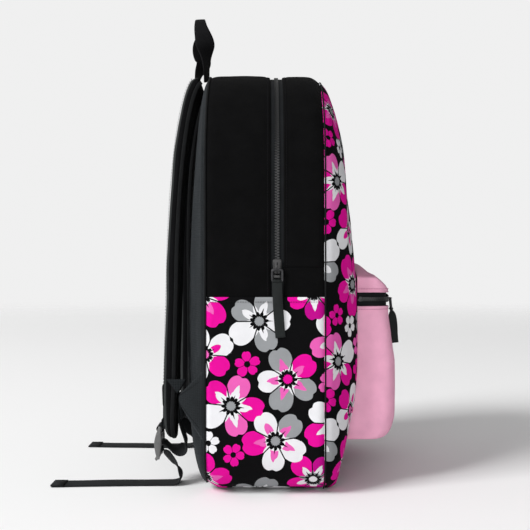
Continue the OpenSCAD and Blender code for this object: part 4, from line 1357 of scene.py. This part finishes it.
def strap(side, name):
    """A padded strap: grey cloth over the outer face and edges, black mesh on the body side, bound at the
    rim."""
    centre, half = strap_line(side)
    t = np.gradient(centre, axis=0)
    t[:, 0] = 0
    out = np.cross(unit(t), X)
    out = out * np.sign(out[:, 1:2])
    thin = 1 - 0.45 * ease(np.clip((120 * MM - centre[:, 2]) / (70 * MM), 0, 1))
    body = f"strap_{name}"

    # Cross-section: rounded pad, fuller in the middle.
    a = TAU * np.arange(34) / 34
    prof = np.stack([np.sign(v) * np.abs(v) ** power
                     for v, power in ((np.cos(a), 0.28), (np.sin(a), 0.62))], 1)
    n, m = len(centre), len(prof)
    rows = []
    for i in range(n):
        h = STRAP_T / 2 * np.where(prof[:, 1] > 0, 1.04, 0.9 * thin[i]) * (1 - 0.16 * prof[:, 0] ** 4)
        from_tip = min(1, (n - 1 - i) / 6)
        end = min(1, i / 6 + 0.35) * max(0.3, math.sqrt(1 - (1 - from_tip) ** 2))
        rows.append(centre[i] + X * (prof[:, 0] * half[i])[:, None] + out[i]
                    * (prof[:, 1] * h * end)[:, None])
    pts = np.array(rows).reshape(-1, 3)
    soft = wobble(pts * np.array([1, 1, 0.6]), 26 * MM, 0.7 * MM, 81.0 + side)
    pts = pts + np.repeat(out, m, axis=0) * soft[:, None]
    v = prof[None, :, 0] * half[:, None] + (prof[None, :, 1] < 0) * 0.2
    uv = np.stack(np.broadcast_arrays(lengths(centre)[:, None], v), -1).reshape(-1, 2)
    mesh_side = [int(prof[j, 1] + prof[(j + 1) % m, 1] < 0.95) for j in range(m)]
    pad = new_mesh(body + "_pad", pts, grid_faces(n, m, wrap_cols=True) + caps(n, m), uv,
                   [M["strap"], M["strap_mesh"]], mesh_side * (n - 1) + [1, 1])
    fix_normals(pad)
    place(pad, "strap_face", body, body + "_face", body + "_foam", body + "_mesh")

    # Binding over the lower corner of the edge, all round.
    reach, drop = X * (half * 0.995)[:, None], out * (STRAP_T * 0.36 * thin)[:, None]
    edge = np.concatenate([centre + reach - drop, (centre - reach - drop)[::-1]])
    keep = np.concatenate([[True], np.linalg.norm(np.diff(edge, axis=0), axis=1) > 0.4 * MM])
    rim = tube(body + "_binding_tape", edge[keep], flat_profile(2.6 * MM, 4.6 * MM, 1.2 * MM),
               np.concatenate([out, out[::-1]])[keep], M["binding"])
    place(rim, "binding", body, body + "_binding")

    inset, rows = 5.5 * MM, []
    use = half > inset + 2 * MM
    for sign in (1, -1):
        p = centre + X * ((half - inset) * sign)[:, None] + out * (STRAP_T / 2 * 0.99)
        rows.append(stitches(f"{body}_row_{sign}", p[use][3:-3], out[use][3:-3], M["thread_black"],
                             pitch=3.4 * MM, r=0.3 * MM))
    place(join(body + "_stitching", rows), "strap_face", body)
    strap_end(side, name, centre, half)


def strap_flank(side, name, centre, half):
    """The patch's corner, wrapped round the strap's outer edge: a triangle that points down, piped at two
    sides."""
    x = strap_at(110 * MM, centre, centre[:, 0] + side * half) + side * 1.2 * MM
    corners = np.array([(103.6, 117.7), (82.8, 117.7), (92.3, 102.4)]) * MM
    rows = [np.linspace(*(corners[:2] * (1 - k) + corners[2] * k), 9) for k in np.linspace(0, 0.97, 8)]
    grid = np.array([np.stack([np.full(9, x), *yz.T], 1) for yz in rows])
    parts = [sheet(f"flank_{name}", grid, grid[..., 1:], M["back"], 1.2 * MM, M["back"])]
    for corner in corners[:2]:
        yz = np.linspace(corner, corners[2], 6)
        pts = np.stack([np.full(6, x + side * 0.2 * MM), *yz.T], 1)
        parts.append(tube(f"piping_{name}", pts, round_profile(0.75 * MM, 8), (side, 0, 0), M["strap_mesh"]))
    for part in parts:
        fix_normals(part)
    return parts


def strap_end(side, name, centre, half):
    """The patch of cloth that carries the lock's loop, and the loop itself."""
    body = f"strap_{name}"
    loop_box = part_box(body + "_loop")
    cx = (loop_box[0].x + loop_box[1].x) / 2

    def face_y(z):
        return strap_at(z, centre, centre[:, 1]) + STRAP_T / 2

    low, high = STRAP_TIP_Z + 34 * MM, STRAP_TIP_Z + 58 * MM
    rows, uvs = [], []
    for k in np.linspace(0, 1, 14):
        z, w = low + (high - low) * k, 11 * MM + 7 * MM * k
        x = np.linspace(-w, w, 15)
        y = face_y(z) + 0.9 * MM - 0.5 * MM * (np.abs(x / w) ** 8 + abs(2 * k - 1) ** 10)
        rows.append(np.stack([cx + x, y, np.full(15, z)], 1))
        uvs.append(np.stack([x, np.full(15, z)], 1))
    patch = sheet(body + "_patch_cloth", np.array(rows), np.array(uvs), M["strap"], 1.2 * MM, M["strap"])
    fix_normals(patch)
    patch = join(body + "_patch_cloth", [patch, *strap_flank(side, name, centre, half)])

    w0, w1, z0, z1 = 9.5 * MM, 16 * MM, low + 2 * MM, high - 2 * MM
    corners = [(cx - w0, z0), (cx - w1, z1), (cx + w1, z1), (cx + w0, z0), (cx - w0, z0)]
    x, z = np.concatenate([line(p, q, 12) for p, q in zip(corners, corners[1:])]).T
    row = stitches(body + "_patch_stitching", np.stack([x, face_y(z) + 1.0 * MM, z], 1),
                   np.tile([0, 1.0, 0], (48, 1)), M["thread_black"], pitch=2.6 * MM, length=2.0 * MM,
                   r=0.3 * MM)

    a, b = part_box(f"ladder_lock_{name}")
    bar_y, bar_z, r = (a.y + b.y) / 2, b.z - 2.4 * MM, 3.6 * MM
    yz = np.concatenate([[(bar_y - r - 0.2 * MM, bar_z + 28 * MM), (bar_y - r, bar_z + 14 * MM)],
                         [(bar_y + r * math.cos(t), bar_z + r * math.sin(t))
                          for t in np.radians(np.linspace(180, 470, 22))],
                         [(bar_y - r + 1.6 * MM, bar_z + 10 * MM)]])
    path = np.stack([np.full(len(yz), cx), *yz.T], 1)
    loop = tube(body + "_loop_webbing", path, flat_profile(22 * MM, 1.4 * MM),
                np.cross(np.gradient(path, axis=0), X), M["webbing"])
    place(patch, "strap_face", body, body + "_patch")
    place(row, "strap_face", body)
    place(loop, "webbing", body, body + "_loop")


# ---------- ladder lock, webbing and wing ----------

def ladder_lock(name):
    """A moulded ladder lock: bowed side rails, a round top bar, two ribbed bars and a thumb lip."""
    a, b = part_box(f"ladder_lock_{name}")
    cx, cy, half = (a.x + b.x) / 2, (a.y + b.y) / 2, (b.x - a.x) / 2
    top, rail_top, lip_z = b.z - 2.4 * MM, b.z + 0.8 * MM, b.z - 26.9 * MM
    ribbed_z = top - 19 * MM
    up, parts = (0, 1, 0), []

    drop = np.linspace(0, 1, 22)
    bow = 1.2 * MM * np.sin(math.pi * drop) + 1.5 * MM * drop
    depth = smooth([0, 0.12, 0.5, 0.85, 1], [0.5, 0.78, 1.5, 0.95, 0.5], drop)
    for sign in (-1, 1):
        pts = np.stack([np.full(22, cx + sign * (half - 1.6 * MM)), cy + bow,
                        rail_top + (a.z + 1 * MM - rail_top) * drop], 1)
        parts.append(tube(f"lock_{name}_rail", pts, flat_profile(3.0 * MM, 5.4 * MM, 1.2 * MM), up, M["lock"],
                          scale=np.stack([np.ones(22), depth], 1)))
    x = np.linspace(cx - half + 1.2 * MM, cx + half - 1.2 * MM, 8)
    for z, wide, dy in ((top, 4.6 * MM, 0.0), (top - 10 * MM, 3.8 * MM, 0.9 * MM),
                        (ribbed_z, 3.8 * MM, 1.4 * MM)):
        pts = np.stack([x, np.full(8, cy + dy), np.full(8, z)], 1)
        parts.append(tube(f"lock_{name}_bar", pts, flat_profile(wide, wide * 0.85, 0.8 * MM), up, M["lock"]))
    for k in range(-4, 5):
        parts.append(block(f"lock_{name}_rib", (cx + k * 2.9 * MM, cy + 1.9 * MM, ribbed_z),
                           (1.0 * MM, 2.4 * MM, 3.2 * MM), M["lock"], 0.3 * MM, 2))
    lip = [(cx, cy + y * MM, lip_z + z * MM) for y,
           z in ((0, 0), (0.4, -2.5), (1.4, -5.0), (3.2, -7.0), (4.6, -8.0))]
    parts.append(tube(f"lock_{name}_lip", lip, flat_profile(2 * half - 1.0 * MM, 3.0 * MM, 1.2 * MM),
                      (0, 1, 0.2), M["lock"]))
    place(join(f"ladder_lock_{name}_moulding", parts), "lock_plastic", f"lock_{name}", f"ladder_lock_{name}")


# The webbing's line in y and z, from its anchor to its tail's end, and its twist in degrees along it. In mm.
WEB_LINE = [(92.6, 86), (92.4, 74), (90.8, 65), (87.8, 56.5), (85.2, 49), (84.2, 43), (86.0, 39.3),
            (90.6, 37.0), (96.2, 37.2), (101, 39.4), (104.8, 42.4), (107, 45.4), (109.6, 47.6), (112.4, 47.4),
            (115.2, 45.4), (115.9, 43), (115.2, 40), (112.4, 38.5), (109, 37.6), (105.4, 33.2), (99.4, 25.5),
            (93.6, 17.5), (90.4, 11), (89.8, 6), (92.4, 2.8), (99, 1.3), (130, 0.9), (165, 1.2), (200, 0.9),
            (230, 1.1),]
WEB_TWIST = [(0, 0), (40, 0), (52, 24), (66, 0), (88, 0), (100, 26), (112, 22), (122, 4), (126, 0), (400, 0)]


def webbing(side, name):
    """The webbing from the wing through the lock, with its tail on the floor and a hem at the tail's end."""
    a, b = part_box(f"webbing_{name}")
    cx = (a.x + b.x) / 2
    path = Path(np.array(WEB_LINE) * MM)
    s = np.linspace(0, path.length, 190)
    yz = path.at(s)
    for _ in range(6):
        yz[1:-1] = yz[1:-1] * 0.5 + (yz[:-2] + yz[2:]) * 0.25
    tail = np.clip((yz[:, 0] - 120 * MM) / (110 * MM), 0, 1)
    pts = np.stack([cx + 6 * MM * side * tail ** 1.5, *yz.T], 1)
    tangent = unit(np.gradient(pts, axis=0))
    up = np.cross(tangent, X)
    where, degrees = np.array(WEB_TWIST, float).T
    twist = np.radians(smooth(where * MM, degrees, s))[:, None] * side
    up = up * np.cos(twist) + np.cross(tangent, up) * np.sin(twist)
    band = flat_profile(25 * MM, 1.5 * MM)
    strip = tube(f"webbing_{name}_strip", pts, band, up, M["webbing"])
    hem = pts[-1] + np.array([(0, -14, 0.9), (0, 0, 0.9)]) * MM
    whole = join(f"webbing_{name}_strip", [strip, tube(f"webbing_{name}_hem", hem, band, (0, 0, 1),
                                                       M["webbing"])])
    place(whole, "webbing", ("bag", f"strap_{name}", (cx, 93 * MM, 60 * MM), (cx, 106 * MM, 46 * MM)),
          f"webbing_{name}")


def wing(side, name):
    """The cloth triangle from the side seam, folded double and stitched, that holds the webbing's lower
    end."""
    seam_x, bend_x, tip_x = BAG_HALF + 0.5 * MM, 124 * MM, 86.5 * MM
    y_seam, y_tip = BACK_Y + 0.5 * MM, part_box(f"anchor_wing_{name}")[1].y - 1.2 * MM
    bulge = 0.7 * MM * np.sin(math.pi * np.linspace(0, 1, 16))
    rows, uvs = [], []
    for x in np.linspace(seam_x, tip_x, 30):
        k = min(1.0, (seam_x - x) / (seam_x - bend_x))
        past = max(0.0, (bend_x - x) / (bend_x - tip_x))
        rise = 1 - (1 - k) ** 1.25
        z = np.linspace(56 + 37 * rise - 21 * min(1.0, past / 0.4), 133.5 - 32.5 * rise - 12 * past, 16) * MM
        rows.append(np.stack([np.full(16, side * x), y_seam + (y_tip - y_seam) * rise + bulge, z], 1))
        uvs.append(np.stack([np.full(16, x), z], 1))
    grid = np.array(rows)
    cloth = sheet(f"anchor_wing_{name}_cloth", grid, np.array(uvs), M["back"], 2.2 * MM, M["back"])
    fix_normals(cloth)
    edge = np.concatenate([grid[2:, 2], grid[-2, 2:-2], grid[::-1][:-2, -3]]) + np.array([0, 0.25 * MM, 0])
    row = stitches(f"anchor_wing_{name}_stitching", edge, np.tile([0, 1.0, 0], (len(edge), 1)),
                   M["thread_black"], pitch=3 * MM, r=0.3 * MM)
    place(cloth, "strap_face", "bag", f"anchor_wing_{name}")
    place(row, "strap_face", "bag")


# ---------- stage ----------

def stage():
    """A pale floor that fades into an equally pale surround, with soft light from the upper left."""
    half, paper = 9.0, 0.90
    floor = new_mesh("floor", [(x, y, 0) for y in (-half, half) for x in (-half, half)], [(0, 1, 3, 2)])
    pale = bpy.data.materials.new("pale_paper")
    pale.use_nodes = True
    tree = Nodes(pale.node_tree)
    far = tree.vec("LENGTH", tree.add("TexCoord").outputs["Object"])
    for socket, value in (("Base Color", (paper,) * 3), ("Roughness", 0.95), ("Specular IOR Level", 0.05),
                          ("Alpha", tree.range(far, 1.2, 5.0, 1, 0, "SMOOTHSTEP"))):
        tree.put(pale.node_tree.nodes["Principled BSDF"].inputs[socket], value)
    floor.data.materials.append(pale)

    # The camera sees the world as pale as the paper; the fill light it gives is softer, and weaker from the
    # front.
    world = bpy.data.worlds.new("studio")
    bpy.context.scene.world = world
    world.use_nodes = True
    sky = Nodes(world.node_tree)
    seen = sky.math("MULTIPLY", sky.add("LightPath").outputs["Is Camera Ray"], 0.87)
    aim = sky.xyz(sky.add("TexCoord").outputs["Generated"])[1]
    background = world.node_tree.nodes["Background"]
    sky.put(background.inputs[0], (1, 1, 1))
    sky.put(background.inputs[1], sky.math("MAXIMUM", sky.range(aim, -1, 1, 0.13, 0.68), seen))

    soft_light("key", (-6.0, 8.8, 7.9), (0, 0, 0.1), 4.8, 1680)
    soft_light("front", (-3.2, 0.3, 0.6), (0, 0, 0.25), 2.0, 39)
    camera = bpy.data.cameras.new("camera")
    camera.lens = 59.84
    camera.sensor_width = 36
    bpy.context.scene.camera = stand("camera", camera, (-1.0665, -0.0015, 0.240),
                                     (math.radians(90), 0, math.radians(-90)))
    bpy.context.scene.view_settings.view_transform = "Standard"


def stand(name, data, location, rotation):
    """Puts a light or a camera in the scene."""
    obj = bpy.data.objects.new(name, data)
    obj.location, obj.rotation_euler = location, rotation
    bpy.context.scene.collection.objects.link(obj)
    return obj


def soft_light(name, location, target, size, power):
    data = bpy.data.lights.new(name, "AREA")
    data.size, data.energy = size, power
    stand(name, data, location, (Vector(target) - Vector(location)).to_track_quat("-Z", "Y").to_euler())


gussets()
seam_cords()
bottom()
side_pockets()
front_panel()
back_panel()
main_zipper()
pocket()
sliders()
inside()
carry_handle()
for side_sign, side_name in SIDES[::-1]:
    strap(side_sign, side_name)
    ladder_lock(side_name)
    webbing(side_sign, side_name)
    wing(side_sign, side_name)
stage()
